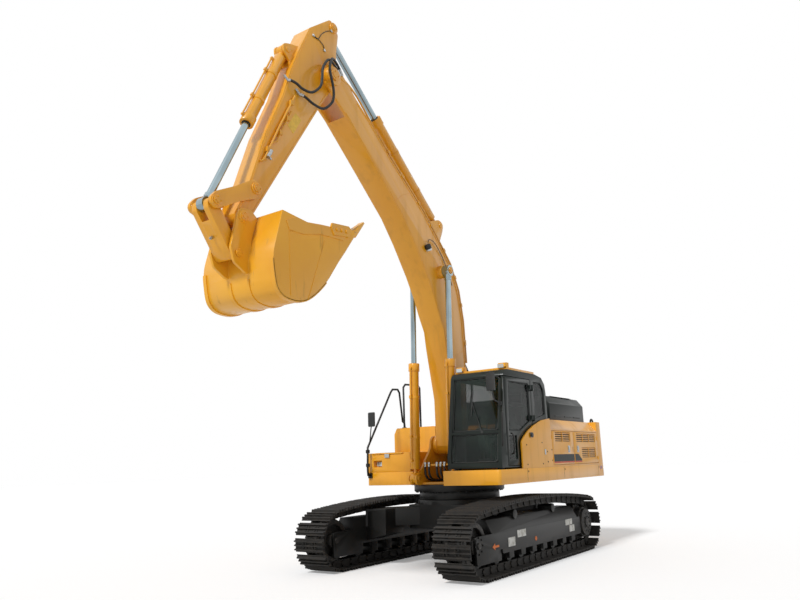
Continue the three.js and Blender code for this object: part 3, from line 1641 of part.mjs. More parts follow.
const EAR_THICK = 40;
const BUCKET_BACK = rolled([
  [-243, 60],
  [-160, -260],
  [-100, -524],
  [-117, -744],
  [-184, -970],
  [-359, -1066],
  [-676, -1035],
  [-1011, -779],
  [-1298, -402],
  [-1460, -200],
  [-1760, 200],
]);

function bucket() {
  const half = BUCKET_WIDTH / 2;
  const wrapper = plateXZ(onBucket(band(BUCKET_BACK, -BUCKET_WALL)), -half, half);
  const side = plateXZ(
    onBucket([
      ...BUCKET_BACK,
      [-1547, 120],
      [-965, 57],
      [-694, 18],
      [-458, 39],
    ]),
    half - BUCKET_WALL,
    half,
  );
  const teeth = [-2, -1, 0, 1, 2].map((k) => {
    const y = (k * (BUCKET_WIDTH - 110)) / 4;
    return plateXZ(
      onBucket([
        [-1690, 60],
        [-1899, 328],
        [-1870, 345],
        [-1640, 150],
      ]),
      y - 48,
      y + 48,
    );
  });
  const inner = ARM_WIDTH / 2 + RUN;
  const ear = plateXZ(
    onBucket([
      [-230, 40],
      [-110, 130, 80],
      [80, 110, 110],
      [190, -430, 100],
      [130, -610, 90],
      [-60, -720, 60],
      [-130, -720],
      [-105, -524],
      [-150, -260],
    ]),
    inner,
    inner + EAR_THICK,
  );
  const reach = inner + EAR_THICK + 15;
  const pins = join(
    pin(BUCKET_PIN, BUCKET_PIN_RADIUS, reach),
    pin(onArm([LINK_END_S, LINK_END_N]), LINK_PIN_RADIUS, reach),
    bothSides(pinY(...BUCKET_PIN, 80, inner + EAR_THICK - 5, reach + 5, 14)),
  );
  return join(wrapper, bothSides(side), teeth, bothSides(ear), pins);
}
add("bucket", bucket(), YELLOW);

// ---------------------------------------------------------------- pipes and hoses
const LINE_Y = 192;
const LINE = 20;
const LINE_STEP = 44;

// Two steel pipes on the boom's back, held by clamps.
function boomPipes() {
  const edge = offsetPath(
    [
      [1080, 998],
      [1757, 1373],
      [2281, 1566],
      [2789, 1600],
      [3387, 1454],
      [3885, 1325],
      [4301, 1155],
      [BOOM_LENGTH - 1478, 871],
      [BOOM_LENGTH - 1077, 738],
    ],
    52,
  );
  const pipes = [LINE_Y, LINE_Y - LINE_STEP].map((y) =>
    rail(
      edge.map((point) => {
        const [x, z] = onBoom(point);
        return [x, y, z];
      }),
      LINE,
      6,
    ),
  );
  const clamps = [0, 2, 4, 6].map((i) => {
    const a = new THREE.Vector2(...edge[i]);
    const b = new THREE.Vector2(...edge[i + 1]);
    const along = b.clone().sub(a).normalize();
    const away = new THREE.Vector2(-along.y, along.x);
    const middle = a.clone().lerp(b, 0.5);
    const corner = (u, v) => {
      const point = middle.clone().addScaledVector(along, u).addScaledVector(away, v);
      return [point.x, point.y];
    };
    const shape = [corner(-35, -52 + GAP), corner(35, -52 + GAP), corner(35, 26), corner(-35, 26)];
    return plateXZ(onBoom(shape), LINE_Y - LINE_STEP - 19, LINE_Y + 18);
  });
  return join(pipes, clamps);
}
add("boom_pipes", boomPipes(), STEEL);

// Hoses from the control valve to the boom's pipes, hanging in a bow behind the boom's foot.
[60, -60].forEach((y, i) => {
  const [x, z] = onBoom([980, 1060]);
  add(
    "foot_hose_" + (i ? "right" : "left"),
    pipe(
      [
        [-210, y, 1911],
        [-215, y, 2080],
        [-330, y * 1.6, 2500],
        [-400, y * 2.2, 2900],
        [-330, y * 2.4, 3180],
        [x - 60, y * 2.4, z + 30],
      ],
      22,
      8,
      4,
    ),
    RUBBER,
  );
});

// The origin goes under the middle of the bounding box.
const bounds = new THREE.Box3().setFromObject(machine);
machine.position.x = -(bounds.min.x + bounds.max.x) / 2;

export default machine;
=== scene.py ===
"""Crawler excavator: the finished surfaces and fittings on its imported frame."""

import json
import math

import bpy
from mathutils import Matrix, Vector

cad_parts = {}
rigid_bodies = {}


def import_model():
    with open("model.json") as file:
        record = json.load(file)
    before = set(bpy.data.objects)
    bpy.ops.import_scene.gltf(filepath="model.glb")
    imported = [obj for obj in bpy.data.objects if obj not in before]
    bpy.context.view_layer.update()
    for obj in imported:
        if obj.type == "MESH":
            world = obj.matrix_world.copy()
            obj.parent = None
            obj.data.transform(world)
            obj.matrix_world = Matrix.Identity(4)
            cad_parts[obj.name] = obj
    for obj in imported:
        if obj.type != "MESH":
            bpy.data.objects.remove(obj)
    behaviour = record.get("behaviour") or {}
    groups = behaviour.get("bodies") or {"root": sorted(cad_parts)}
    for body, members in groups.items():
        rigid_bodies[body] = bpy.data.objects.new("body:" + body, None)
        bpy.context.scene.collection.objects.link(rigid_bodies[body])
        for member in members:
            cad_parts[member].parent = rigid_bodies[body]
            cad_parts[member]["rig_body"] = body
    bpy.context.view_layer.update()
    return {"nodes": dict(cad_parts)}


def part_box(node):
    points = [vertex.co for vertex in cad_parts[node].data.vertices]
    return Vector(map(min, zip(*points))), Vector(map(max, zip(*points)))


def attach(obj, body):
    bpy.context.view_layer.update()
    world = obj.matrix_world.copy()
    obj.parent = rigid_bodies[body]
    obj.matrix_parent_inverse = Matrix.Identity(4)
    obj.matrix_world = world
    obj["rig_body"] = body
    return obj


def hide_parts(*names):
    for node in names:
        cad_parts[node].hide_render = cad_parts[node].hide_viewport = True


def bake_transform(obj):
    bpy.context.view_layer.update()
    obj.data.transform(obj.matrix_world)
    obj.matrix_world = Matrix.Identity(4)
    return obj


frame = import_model()


# The camera: it stands on a low tripod off the cab's front corner, looks up at the boom, and
# leans a little to its right. Its lens and the offset of its film are held with it.
stand = Vector((9.7383, 6.5865, 1.6149))
turned, tilted, rolled = math.radians(214.18), math.radians(13.651), math.radians(-1.927)
ahead = Vector(
    (math.cos(turned) * math.cos(tilted), math.sin(turned) * math.cos(tilted), math.sin(tilted))
)
level = ahead.cross(Vector((0, 0, 1))).normalized()
upright = level.cross(ahead)
right = math.cos(rolled) * level + math.sin(rolled) * upright
top = math.cos(rolled) * upright - math.sin(rolled) * level
bpy.ops.object.camera_add()
camera = bpy.context.object
camera.name = "camera"
camera.matrix_world = Matrix(
    (
        (right.x, top.x, -ahead.x, stand.x),
        (right.y, top.y, -ahead.y, stand.y),
        (right.z, top.z, -ahead.z, stand.z),
        (0, 0, 0, 1),
    )
)
film_width, focal_share = 36, 697.04 / 800
camera.data.sensor_width = film_width
camera.data.lens = focal_share * film_width
camera.data.shift_x = -0.01745
camera.data.shift_y = -0.00666
camera.data.clip_end = 500
bpy.context.scene.camera = camera
bpy.context.scene.view_settings.view_transform = "Standard"


# The studio: a pale floor under an even white sky and one broad lamp high ahead of the machine,
# so that its front faces are lit and its left side stands in soft shade.
class Grain:
    """A value that changes over a surface; sums and products of grains are Math nodes."""

    def __init__(self, tree, socket):
        self.tree = tree
        self.socket = socket

    def node(self, kind, settings=None, inputs=None, output=0):
        made = self.tree.nodes.new(kind)
        for name, value in (settings or {}).items():
            setattr(made, name, value)
        for key, value in (inputs or {}).items():
            if isinstance(value, Grain):
                self.tree.links.new(value.socket, made.inputs[key])
            else:
                made.inputs[key].default_value = value
        return Grain(self.tree, made.outputs[output])

    def sum_of(self, operation, first, second=0.0, clamp=False):
        settings = {"operation": operation, "use_clamp": clamp}
        return self.node("ShaderNodeMath", settings, {0: first, 1: second})

    def __add__(self, other):
        return self.sum_of("ADD", self, other)

    __radd__ = __add__

    def __rsub__(self, other):
        return self.sum_of("SUBTRACT", other, self)

    def __mul__(self, other):
        return self.sum_of("MULTIPLY", self, other)

    __rmul__ = __mul__

    def limited(self):
        return self.sum_of("ADD", self, 0.0, True)

    def fade(self, low, high):
        """0 at low, 1 at high, and even in between."""
        return self.node(
            "ShaderNodeMapRange", {}, {"Value": self, "From Min": low, "From Max": high}
        )

    def tint(self, bare, covered):
        """The first colour where this is 0 and the second where it is 1."""
        return self.node(
            "ShaderNodeMix", {"data_type": "RGBA"}, {0: self, 6: bare, 7: covered}, 2
        )

    def noise(self, scale, detail):
        settings = {"Vector": self, "Scale": scale, "Detail": detail, "Roughness": 0.55}
        return self.node("ShaderNodeTexNoise", {}, settings)


def shade(hex_colour):
    """A colour written as in a paint catalogue, in the renderer's linear terms."""
    parts = [int(hex_colour[i : i + 2], 16) / 255 for i in (0, 2, 4)]
    return (*[p / 12.92 if p <= 0.04045 else ((p + 0.055) / 1.055) ** 2.4 for p in parts], 1)


def new_finish(name):
    """A material, its shader, and the place on the piece that its grain is read from."""
    made = bpy.data.materials.new(name)
    made.use_nodes = True
    shader = made.node_tree.nodes["Principled BSDF"]
    places = made.node_tree.nodes.new("ShaderNodeTexCoord")
    return made, shader, Grain(made.node_tree, places.outputs["Object"])


def lay(shader, **layers):
    """Sets the shader's sockets: a grain is linked, a number or a colour is set as it is."""
    for name, value in layers.items():
        socket = shader.inputs[name.replace("_", " ")]
        if isinstance(value, Grain):
            value.tree.links.new(value.socket, socket)
        else:
            socket.default_value = value


def raised(height, strength, depth):
    """The bump that a height pattern gives."""
    return height.node(
        "ShaderNodeBump", {}, {"Strength": strength, "Distance": depth, "Height": height}
    )


sky = bpy.data.worlds.new("sky")
bpy.context.scene.world = sky
sky.use_nodes = True
sky_light = sky.node_tree.nodes["Background"]
rays = sky.node_tree.nodes.new("ShaderNodeLightPath")
seen, mirrored_sky, through = (
    Grain(sky.node_tree, rays.outputs[name])
    for name in ("Is Camera Ray", "Is Glossy Ray", "Is Transmission Ray")
)
shown = (seen + mirrored_sky + through).limited()
lay(sky_light, Color=(1, 1, 1, 1), Strength=shown * 0.58 + 0.42)

aim = Vector((-0.72, 0.03, -0.69))
bpy.ops.object.light_add(type="SUN", rotation=aim.to_track_quat("-Z", "Y").to_euler())
lamp = bpy.context.object
lamp.name = "key_lamp"
lamp.data.energy = 2.1
lamp.data.angle = math.radians(9)

bpy.ops.mesh.primitive_plane_add(size=240, location=(0, 0, -0.002))
floor = bpy.context.object
floor.name = "floor"
floor_paint, floor_shader, place = new_finish("floor_paint")
rays = place.tree.nodes.new("ShaderNodeLightPath")
seen = Grain(place.tree, rays.outputs["Is Camera Ray"])
lay(
    floor_shader,
    Base_Color=(0.86, 0.86, 0.86, 1),
    Roughness=0.9,
    Specular_IOR_Level=0.1,
    Emission_Color=seen.tint((0, 0, 0, 1), (0.24, 0.24, 0.24, 1)),
    Emission_Strength=1.0,
)
floor.data.materials.append(floor_paint)


# Side frames and car body: welded steel boxes and the X-shaped centre frame between them,
# in black enamel that carries pale dust on every face that looks up.
def only(*pieces):
    """Selects these pieces and nothing else, with the last one active."""
    bpy.ops.object.select_all(action="DESELECT")
    for piece in pieces:
        piece.select_set(True)
    bpy.context.view_layer.objects.active = pieces[-1]


def named(name):
    """The piece that was added last, under its own name."""
    bpy.context.object.name = name
    return bpy.context.object


def smooth(piece, degrees=32):
    only(piece)
    bpy.ops.object.shade_smooth_by_angle(angle=math.radians(degrees))
    return piece


def broken_edges(piece, width, segments=2, degrees=31):
    """Takes the sharpness off every edge, as a grinder does before painting."""
    only(piece)
    bpy.ops.object.shade_smooth()
    bevel = piece.modifiers.new("edge", "BEVEL")
    bevel.width = width
    bevel.segments = segments
    bevel.limit_method = "ANGLE"
    bevel.angle_limit = math.radians(degrees)
    bevel.use_clamp_overlap = True
    bevel.harden_normals = True
    bpy.ops.object.modifier_apply(modifier="edge")
    return piece


def fit(piece, body, slot, *finishes):
    """Gives a piece its paint and bolts it to the body that it moves with."""
    piece.data.materials.clear()
    for each in finishes:
        piece.data.materials.append(each)
    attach(piece, body)
    return piece


def finished(node, slot, paint, edge=0.004):
    """The node's own shape with its joints merged, its edges broken and its rounds smooth."""
    rough = frame["nodes"][node]
    rough.material_slots[0].material = paint
    piece = bpy.data.objects.new(node + "_finished", rough.data.copy())
    bpy.context.scene.collection.objects.link(piece)
    only(piece)
    bpy.ops.object.mode_set(mode="EDIT")
    bpy.ops.mesh.select_all(action="SELECT")
    bpy.ops.mesh.remove_doubles(threshold=0.00005)
    bpy.ops.mesh.dissolve_limited(angle_limit=math.radians(0.6))
    bpy.ops.object.mode_set(mode="OBJECT")
    if edge:
        broken_edges(piece, edge)
    else:
        smooth(piece)
    fit(piece, rough["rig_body"], slot, paint)
    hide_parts(node)


def facing_up(place):
    """1 on faces that look up and 0 on walls and undersides."""
    normal = place.node("ShaderNodeNewGeometry", output=1)
    return normal.node("ShaderNodeSeparateXYZ", {}, {0: normal}, 2).fade(0.3, 0.95)


def mottled(name, wear, fresh, aged, gloss, bump=None, metal=None, **layers):
    """A finish that goes from a fresh colour to an aged one as its wear pattern says.

    Gloss and metal give the value when fresh and what wear adds to it; gloss may name a
    grain of its own after them. Bump is a grain's scale and detail, its strength and depth,
    or the last two alone where the wear itself stands up.
    """
    finish, shader, place = new_finish(name)
    worn = wear(place)
    rubbed = place.noise(*gloss[2:]) if gloss[2:] else worn
    lay(
        shader, Base_Color=worn.tint(shade(fresh), shade(aged)),
        Roughness=rubbed * gloss[1] + gloss[0],
    )
    if metal:
        lay(shader, Metallic=worn * metal[1] + metal[0])
    if bump:
        lay(shader, Normal=raised(place.noise(*bump[:-2]) if bump[2:] else worn, *bump[-2:]))
    lay(shader, **layers)
    return finish


def patches(scale, detail, low=0.3, high=0.7):
    """Cloudy patches of wear, from none at the low mark to full at the high one."""
    return lambda place: place.noise(scale, detail).fade(low, high)


black_enamel = mottled(
    "black_enamel",
    lambda place: (
        facing_up(place) * place.noise(3.1, 5) * 0.5 + place.noise(1.3, 4) * 0.08
    ).limited(),
    "141413", "38352f", (0.38, 0.5), (160, 2, 0.12, 0.002), Specular_IOR_Level=0.3,
)
for node in ("track_frame_left", "track_frame_right", "car_body", "slew_ring"):
    finished(node, "black_paint", black_enamel, 0.005)


# Idlers and sprockets: cast wheels that carry the track at each end, black on their hubs
# and rubbed to bare dark steel on the treads and teeth.
worn_casting = mottled(
    "worn_casting", patches(22, 4, 0.42, 0.62), "161514", "3a3631",
    (0.62, -0.22), (90, 4, 0.2, 0.002), (0, 0.5),
)
for node in ("idler_left", "idler_right", "sprocket_left", "sprocket_right"):
    finished(node, "black_paint", worn_casting, 0.004)


# Track chains: forty-eight forged links a side on sealed pins, each with a rolled steel shoe
# of three ribs bolted across them; earth in the hollows, the ribs' tips worn bright.
wheel_half, wheel_height, pitch_radius, top_rise = 2.008, 0.476, 0.367, 0.110
shoe_count, shoe_half, gauge_half = 48, 0.300, 1.295
middle_x = -1.17321


def chain_line():
    """The chain's joints in order, from under the idler round to under the sprocket."""
    corners, steps = [], 14
    for end, start in ((1, -math.pi / 2), (-1, math.pi / 2)):
        for k in range(steps + 1):
            turn = start + math.pi * k / steps
            x = end * wheel_half + pitch_radius * math.cos(turn)
            corners.append((x, wheel_height + pitch_radius * math.sin(turn)))
        for k in range(1, 8) if end > 0 else ():
            x = wheel_half - 2 * wheel_half * k / 8
            rise = top_rise * (1 - (x / wheel_half) ** 2)
            corners.append((x, wheel_height + pitch_radius + rise))
    runs = [math.dist(a, b) for a, b in zip(corners, corners[1:] + corners[:1])]
    joints, step = [], sum(runs) / shoe_count
    for k in range(shoe_count):
        left, i = k * step, 0
        while left > runs[i]:
            left -= runs[i]
            i += 1
        a, b = corners[i], corners[(i + 1) % len(corners)]
        share = left / runs[i]
        joints.append((a[0] + (b[0] - a[0]) * share, a[1] + (b[1] - a[1]) * share))
    return joints


def closed(piece):
    """Merges the points that meet and turns every face outwards."""
    only(piece)
    bpy.ops.object.mode_set(mode="EDIT")
    bpy.ops.mesh.select_all(action="SELECT")
    bpy.ops.mesh.remove_doubles(threshold=0.00002)
    bpy.ops.mesh.normals_make_consistent(inside=False)
    bpy.ops.object.mode_set(mode="OBJECT")
    return piece


def cut_plate(name, outline, near, far, axis="y"):
    """A flame-cut plate: its outline across the axis, and its two faces at near and far."""
    bpy.ops.object.select_all(action="DESELECT")
    bpy.ops.mesh.primitive_circle_add(vertices=len(outline), radius=1, fill_type="NGON")
    plate = named(name)
    for vertex, (u, v) in zip(plate.data.vertices, outline):
        vertex.co = (near, u, v) if axis == "x" else (u, near, v)
    depth = (far - near, 0, 0) if axis == "x" else (0, far - near, 0)
    bpy.ops.object.mode_set(mode="EDIT")
    bpy.ops.mesh.select_all(action="SELECT")
    bpy.ops.mesh.extrude_region_move(TRANSFORM_OT_translate={"value": depth})
    bpy.ops.mesh.select_all(action="SELECT")
    bpy.ops.mesh.normals_make_consistent(inside=False)
    bpy.ops.object.mode_set(mode="OBJECT")
    return plate


def welded(name, *pieces):
    """Several pieces made one, as they are after welding or bolting up."""
    only(*pieces)
    bpy.ops.object.join()
    return named(name)


def hex_bolt(name, radius, height):
    """A bolt's head standing on the ground plane, with its corners turned off."""
    bpy.ops.object.select_all(action="DESELECT")
    bpy.ops.mesh.primitive_cylinder_add(
        vertices=6, radius=radius, depth=height, location=(0, 0, height / 2)
    )
    bolt = named(name)
    bpy.ops.object.transform_apply(location=True)
    bpy.ops.object.mode_set(mode="EDIT")
    bpy.ops.mesh.select_all(action="DESELECT")
    bpy.ops.object.mode_set(mode="OBJECT")
    for face in bolt.data.polygons:
        face.select = face.normal.z > 0.9
    bpy.ops.object.mode_set(mode="EDIT")
    bpy.ops.mesh.inset(thickness=radius * 0.18)
    bpy.ops.transform.translate(value=(0, 0, height * 0.12))
    bpy.ops.object.mode_set(mode="OBJECT")
    return bolt


def copies(master, name, placings):
    """The master shape repeated at each placing, and joined; the master is used up."""
    made = []
    for placing in placings:
        piece = bpy.data.objects.new(name, master.data.copy())
        piece.data.transform(placing)
        bpy.context.scene.collection.objects.link(piece)
        made.append(piece)
    bpy.data.objects.remove(master)
    return welded(name, *made)


def pointing(place, direction):
    """Stands a shape that was made upright at a place, along a direction."""
    aim = Vector(direction).to_track_quat("Z", "Y").to_matrix().to_4x4()
    return Matrix.Translation(place) @ aim


joints = chain_line()
pitch = math.dist(joints[0], joints[1])
ground_face, rib_top, rib_foot, rib_tip = 0.073, 0.109, 0.016, 0.008
shoe_outline = [(0.008, 0.060), (0.004, 0.067), (0.012, 0.072)]
for rib in (0.2 * pitch, 0.5 * pitch, 0.8 * pitch):
    shoe_outline += [
        (rib - rib_foot, ground_face), (rib - rib_tip, rib_top),
        (rib + rib_tip, rib_top), (rib + rib_foot, ground_face),
    ]
shoe_outline += [(pitch - 0.004, 0.072), (pitch - 0.001, 0.066), (pitch - 0.006, 0.060)]
link_outline = [
    (-0.030, -0.020), (-0.012, -0.042), (0.025, -0.050), (pitch - 0.025, -0.050),
    (pitch + 0.012, -0.042), (pitch + 0.030, -0.020), (pitch + 0.026, 0.024),
    (pitch - 0.02, 0.036), (pitch - 0.034, 0.0595), (0.034, 0.0595), (0.02, 0.036), (-0.026, 0.024),
]

bolt_rows, link_gap, link_half = (-0.122, -0.068, 0.068, 0.122), 0.095, 0.022
pin_radius, pin_length = 0.026, 0.262

worn_shoe = mottled(
    "worn_shoe", patches(9, 6, 0.35, 0.75), "181716", "2f2a24",
    (0.55, 0.35), (120, 4, 0.35, 0.003), (0.35, -0.3),
)
bright_rib = mottled(
    "bright_rib", patches(30, 4), "8b8883", "c4c2bd",
    (0.5, -0.15), (70, 4, 0.3, 0.002), Metallic=0.75,
)

for side, side_y in (("left", gauge_half), ("right", -gauge_half)):
    shoe = cut_plate("shoe", shoe_outline, -shoe_half, shoe_half)
    tread = [face.index for face in shoe.data.polygons if face.center.z > rib_top - 0.001]
    shoe.data.materials.append(worn_shoe)
    shoe.data.materials.append(bright_rib)
    for index in tread:
        shoe.data.polygons[index].material_index = 1
    bolts = copies(
        hex_bolt("shoe_bolt", 0.017, 0.014),
        "shoe_bolts",
        [
            Matrix.Translation((x, y, ground_face - 0.0005))
            for x in (0.35 * pitch, 0.65 * pitch)
            for y in bolt_rows
        ],
    )
    bolts.data.materials.append(worn_shoe)
    shoe = welded("shoe", bolts, shoe)
    links = [
        cut_plate("link", link_outline, y - link_half, y + link_half) for y in (-link_gap, link_gap)
    ]
    bpy.ops.object.select_all(action="DESELECT")
    bpy.ops.mesh.primitive_cylinder_add(
        vertices=12, radius=pin_radius, depth=pin_length, rotation=(math.pi / 2, 0, 0)
    )
    pin = bpy.context.object
    bpy.ops.object.transform_apply(rotation=True)
    link = welded("link", pin, *links)
    placings = []
    for a, b in zip(joints, joints[1:] + joints[:1]):
        along = Vector((b[0] - a[0], 0, b[1] - a[1])).normalized()
        out = Vector((along.z, 0, -along.x))
        placings.append(
            Matrix(
                (
                    (along.x, 0, out.x, a[0] + middle_x),
                    (0, 1, 0, side_y),
                    (along.z, 0, out.z, a[1]),
                    (0, 0, 0, 1),
                )
            )
        )
    shoes = smooth(copies(shoe, "track_shoes_" + side, placings), 30)
    fit(shoes, "undercarriage", "track_steel", worn_shoe, bright_rib)
    chain = smooth(copies(link, "track_chain_" + side, placings), 30)
    fit(chain, "undercarriage", "track_steel", worn_shoe)
    frame["nodes"]["track_" + side].material_slots[0].material = worn_shoe
    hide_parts("track_" + side)
# Plates and marks on the side frames: four blank white enamel plates stuck to each frame's
# outer face, with an orange spot and an orange arrow that mark where it is lashed down.
def block(name, low, high, edge=0.003):
    """A squared piece between two corners, with its edges broken."""
    bpy.ops.object.select_all(action="DESELECT")
    middle, span = zip(*[((a + b) / 2, b - a) for a, b in zip(low, high)])
    bpy.ops.mesh.primitive_cube_add(size=1, location=middle, scale=span)
    piece = named(name)
    bpy.ops.object.transform_apply(location=True, scale=True)
    return broken_edges(piece, edge) if edge else piece


def round_bar(name, start, end, radius, sides=16, edge=0.0):
    """A round bar from one point to another."""
    start, end = Vector(start), Vector(end)
    bpy.ops.object.select_all(action="DESELECT")
    bpy.ops.mesh.primitive_cylinder_add(vertices=sides, radius=radius, depth=(end - start).length)
    piece = named(name)
    piece.data.transform(pointing((start + end) / 2, end - start))
    return broken_edges(piece, edge, 2, 40) if edge else smooth(piece, 40)


white_enamel = mottled(
    "white_enamel", patches(14, 4, 0.4, 0.7), "d9d9d4", "a9a69c", (0.4, 0.3), (240, 2, 0.05, 0.001)
)
orange_mark = mottled("orange_mark", patches(30, 3), "d4661c", "e67a26", (0.35, 0.3, 9, 2))
both_sides = ((1, "left"), (-1, "right"))
frame_face = 1.486
for side, label in both_sides:
    near, far = sorted((side * frame_face, side * (frame_face + 0.003)))
    plates = [
        block("plate", (x0 + middle_x, near, z0), (x1 + middle_x, far, z1), 0.001)
        for x0, x1, z0, z1 in (
            (0.894, 1.122, 0.372, 0.499), (0.514, 0.811, 0.475, 0.580),
            (-1.349, -1.055, 0.490, 0.586), (-1.438, -1.211, 0.372, 0.480),
        )
    ]
    fit(welded("frame_plates_" + label, *plates), "undercarriage", "black_paint", white_enamel)
    spot = round_bar(
        "lashing_spot_" + label, (0.163 + middle_x, side * 1.484, 0.40),
        (0.163 + middle_x, side * 1.489, 0.40), 0.034, 20,
    )
    arrow = cut_plate(
        "arrow_" + label,
        [(x + 1.52 + middle_x, z + 0.42) for x, z in (
            (-0.10, -0.015), (0.02, -0.015), (0.02, -0.045), (0.10, 0), (0.02, 0.045),
            (0.02, 0.015), (-0.10, 0.015))],
        side * 1.4865, side * 1.4895,
    )
    fit(welded("lashing_marks_" + label, spot, arrow), "undercarriage", "black_paint", orange_mark)


# Hub covers and motor guards: a ring of cap screws round the idler's hub and round each drive
# hub's cover, all in the frame's black enamel.
def screw_ring(name, centre, direction, ring, count, radius=0.012, height=0.012):
    """Hexagon heads evenly round a circle."""
    aim = pointing(centre, direction)
    places = [
        aim @ Matrix.Translation((ring * math.cos(a), ring * math.sin(a), 0))
        for a in (2 * math.pi * k / count for k in range(count))
    ]
    return smooth(copies(hex_bolt(name, radius, height), name, places), 30)


for side, label in both_sides:
    for place_name, hub_x, face, ring in (
        ("drive", -wheel_half, 1.519, 0.165), ("drive_inner", -wheel_half, 1.519, 0.10),
        ("idler", wheel_half, 1.489, 0.11),
    ):
        screws = screw_ring(
            place_name + "_screws_" + label, (hub_x + middle_x, side * face, wheel_height),
            (0, side, 0), ring, 12 if ring > 0.15 else 8,
        )
        fit(screws, "undercarriage", "black_paint", black_enamel)


# Swing ring flange: a rolled ring bolted under the upper frame, with its screws showing round
# the edge, in dark enamel.
finished("slew_flange", "black_paint", black_enamel, 0.004)
ring_screws = screw_ring("ring_screws", (middle_x, 0, 1.151), (0, 0, -1), 0.755, 36, 0.016, 0.018)
fit(ring_screws, "upper", "black_paint", black_enamel)


# Upper frame: the welded deck and side beams under everything that turns, sprayed yellow,
# with a dark line of sealer where two lengths of beam meet.
def sprayed_yellow(name, body_shade, lit_shade, rough=0.3):
    """Two-pack yellow over primer: slight orange peel, rain streaks and dust on upper faces."""
    finish, shader, place = new_finish(name)
    streaks = place.node("ShaderNodeMapping", {}, {0: place, 3: (7.0, 7.0, 0.7)}).noise(1.0, 5)
    cloud = place.noise(0.8, 3).fade(0.3, 0.7)
    grime = (streaks.fade(0.52, 0.8) * 0.3 + facing_up(place) * place.noise(2.4, 5) * 0.3).limited()
    painted = cloud.tint(shade(body_shade), shade(lit_shade))
    lay(
        shader,
        Base_Color=grime.tint(painted, shade("a87422")),
        Roughness=rough + grime * 0.45 + cloud * 0.05,
        Normal=raised(place.noise(230, 2) + place.noise(18, 2) * 0.5, 0.09, 0.0015),
        Coat_Weight=0.3 - grime * 0.3,
        Coat_Roughness=0.1,
    )
    return finish


yellow = sprayed_yellow("yellow_enamel", "e8a018", "eea920")
finished("revolving_frame", "yellow_paint", yellow, 0.006)
sealer = mottled("joint_sealer", patches(12, 3), "5e3c10", "7a5014", (0.6, 0.2, 40, 2))
seams = []
for x, side in ((0.33, 1), (-1.165, 1), (-2.88, 1), (-0.9, -1), (-2.3, -1)):
    near, far = sorted((side * 1.4965, side * 1.5008))
    x += middle_x
    seams.append(block("seam", (x - 0.004, near, 1.29), (x + 0.004, far, 1.486), 0))
    if side > 0:
        ends = (x - 0.04, 1.494, 1.44), (x - 0.04, 1.501, 1.44)
        seams.append(round_bar("plug", *ends, 0.017, 14))
fit(welded("beam_seams", *seams), "upper", "yellow_paint", sealer)


# Anti-slip plate: dark sheet with pressed studs, glued where a boot goes on the tool box lid,
# the counterweight, the engine hood and the right walkway.
stud_sheet, shader, place = new_finish("stud_sheet")
studs = place.node(
    "ShaderNodeTexVoronoi", {"distance": "CHEBYCHEV"},
    {"Vector": place, "Scale": 26.0, "Randomness": 0.0},
)
wear = place.noise(11, 4).fade(0.45, 0.7)
lay(
    shader,
    Base_Color=wear.tint(shade("1d1d1c"), shade("4a4843")),
    Roughness=0.45 + wear * 0.25,
    Normal=raised(studs.fade(0.5, 0.25), 0.8, 0.004),
)
pads = (
    ("tool_box_lid", (-1.22, -1.33, 1.8255), (-0.52, -0.74, 1.8285)),
    ("upper", (-4.56, -1.2, 2.3205), (-4.30, -0.2, 2.3245)),
    ("engine_hood", (-3.9, 0.25, 2.801), (-2.9, 1.1, 2.804)),
    ("upper", (-2.52, -1.44, 2.3005), (-2.30, -0.72, 2.3035)),
)
for number, (body, low, high) in enumerate(pads):
    fit(block("stud_pad_" + str(number + 1), low, high, 0.001), body, "black_paint", stud_sheet)


# Counterweight: one iron casting with rounded corners, yellow, with two lifting eyes let in
# the top and a blank reflector strip low on each side.
finished("counterweight", "yellow_paint", yellow, 0.022)
eyes = []
for y in (-1.32, 1.32):
    bpy.ops.object.select_all(action="DESELECT")
    bpy.ops.mesh.primitive_torus_add(
        major_radius=0.065, minor_radius=0.018, major_segments=24, minor_segments=10,
        location=(-4.38, y, 2.325), rotation=(math.pi / 2, 0, 0),
    )
    bpy.ops.object.transform_apply(location=True, rotation=True)
    eyes.append(smooth(bpy.context.object, 60))
fit(welded("lifting_eyes", *eyes), "upper", "black_paint", black_enamel)
red_reflector, shader, place = new_finish("red_reflector")
cells = place.node("ShaderNodeTexVoronoi", {}, {"Vector": place, "Scale": 90.0})
lay(
    shader, Base_Color=cells.tint(shade("a61c14"), shade("7c120e")), Roughness=cells * 0.2 + 0.1,
    Coat_Weight=0.6,
)
strips = []
for side in (-1, 1):
    near, far = sorted((side * 1.4945, side * 1.4945 * 1.0016))
    strips.append(block("strip", (-4.29, near, 1.40), (-4.16, far, 1.46), 0.001))
fit(welded("rear_reflectors", *strips), "upper", "yellow_paint", red_reflector)


# Engine bodywork: folded sheet panels over the engine, yellow, with side doors hung on hinges;
# louvres are pressed slats over dark mesh, and the latches are bright plated paddles.
for node in ("engine_cowl", "left_door_front", "left_door_rear", "right_door"):
    finished(node, "yellow_paint", yellow, 0.003)
mesh_black, shader, place = new_finish("mesh_black")
holes = place.node("ShaderNodeTexVoronoi", {}, {"Vector": place, "Scale": 120.0, "Randomness": 0.0})
lay(
    shader,
    Base_Color=holes.fade(0.2, 0.5).tint(shade("2a1d0a"), shade("4e3813")),
    Roughness=holes * 0.3 + 0.6,
    Normal=raised(holes, 0.6, 0.003),
)

door_face, slat_pitch, divider_pitch = 1.4995, 0.036, 0.3


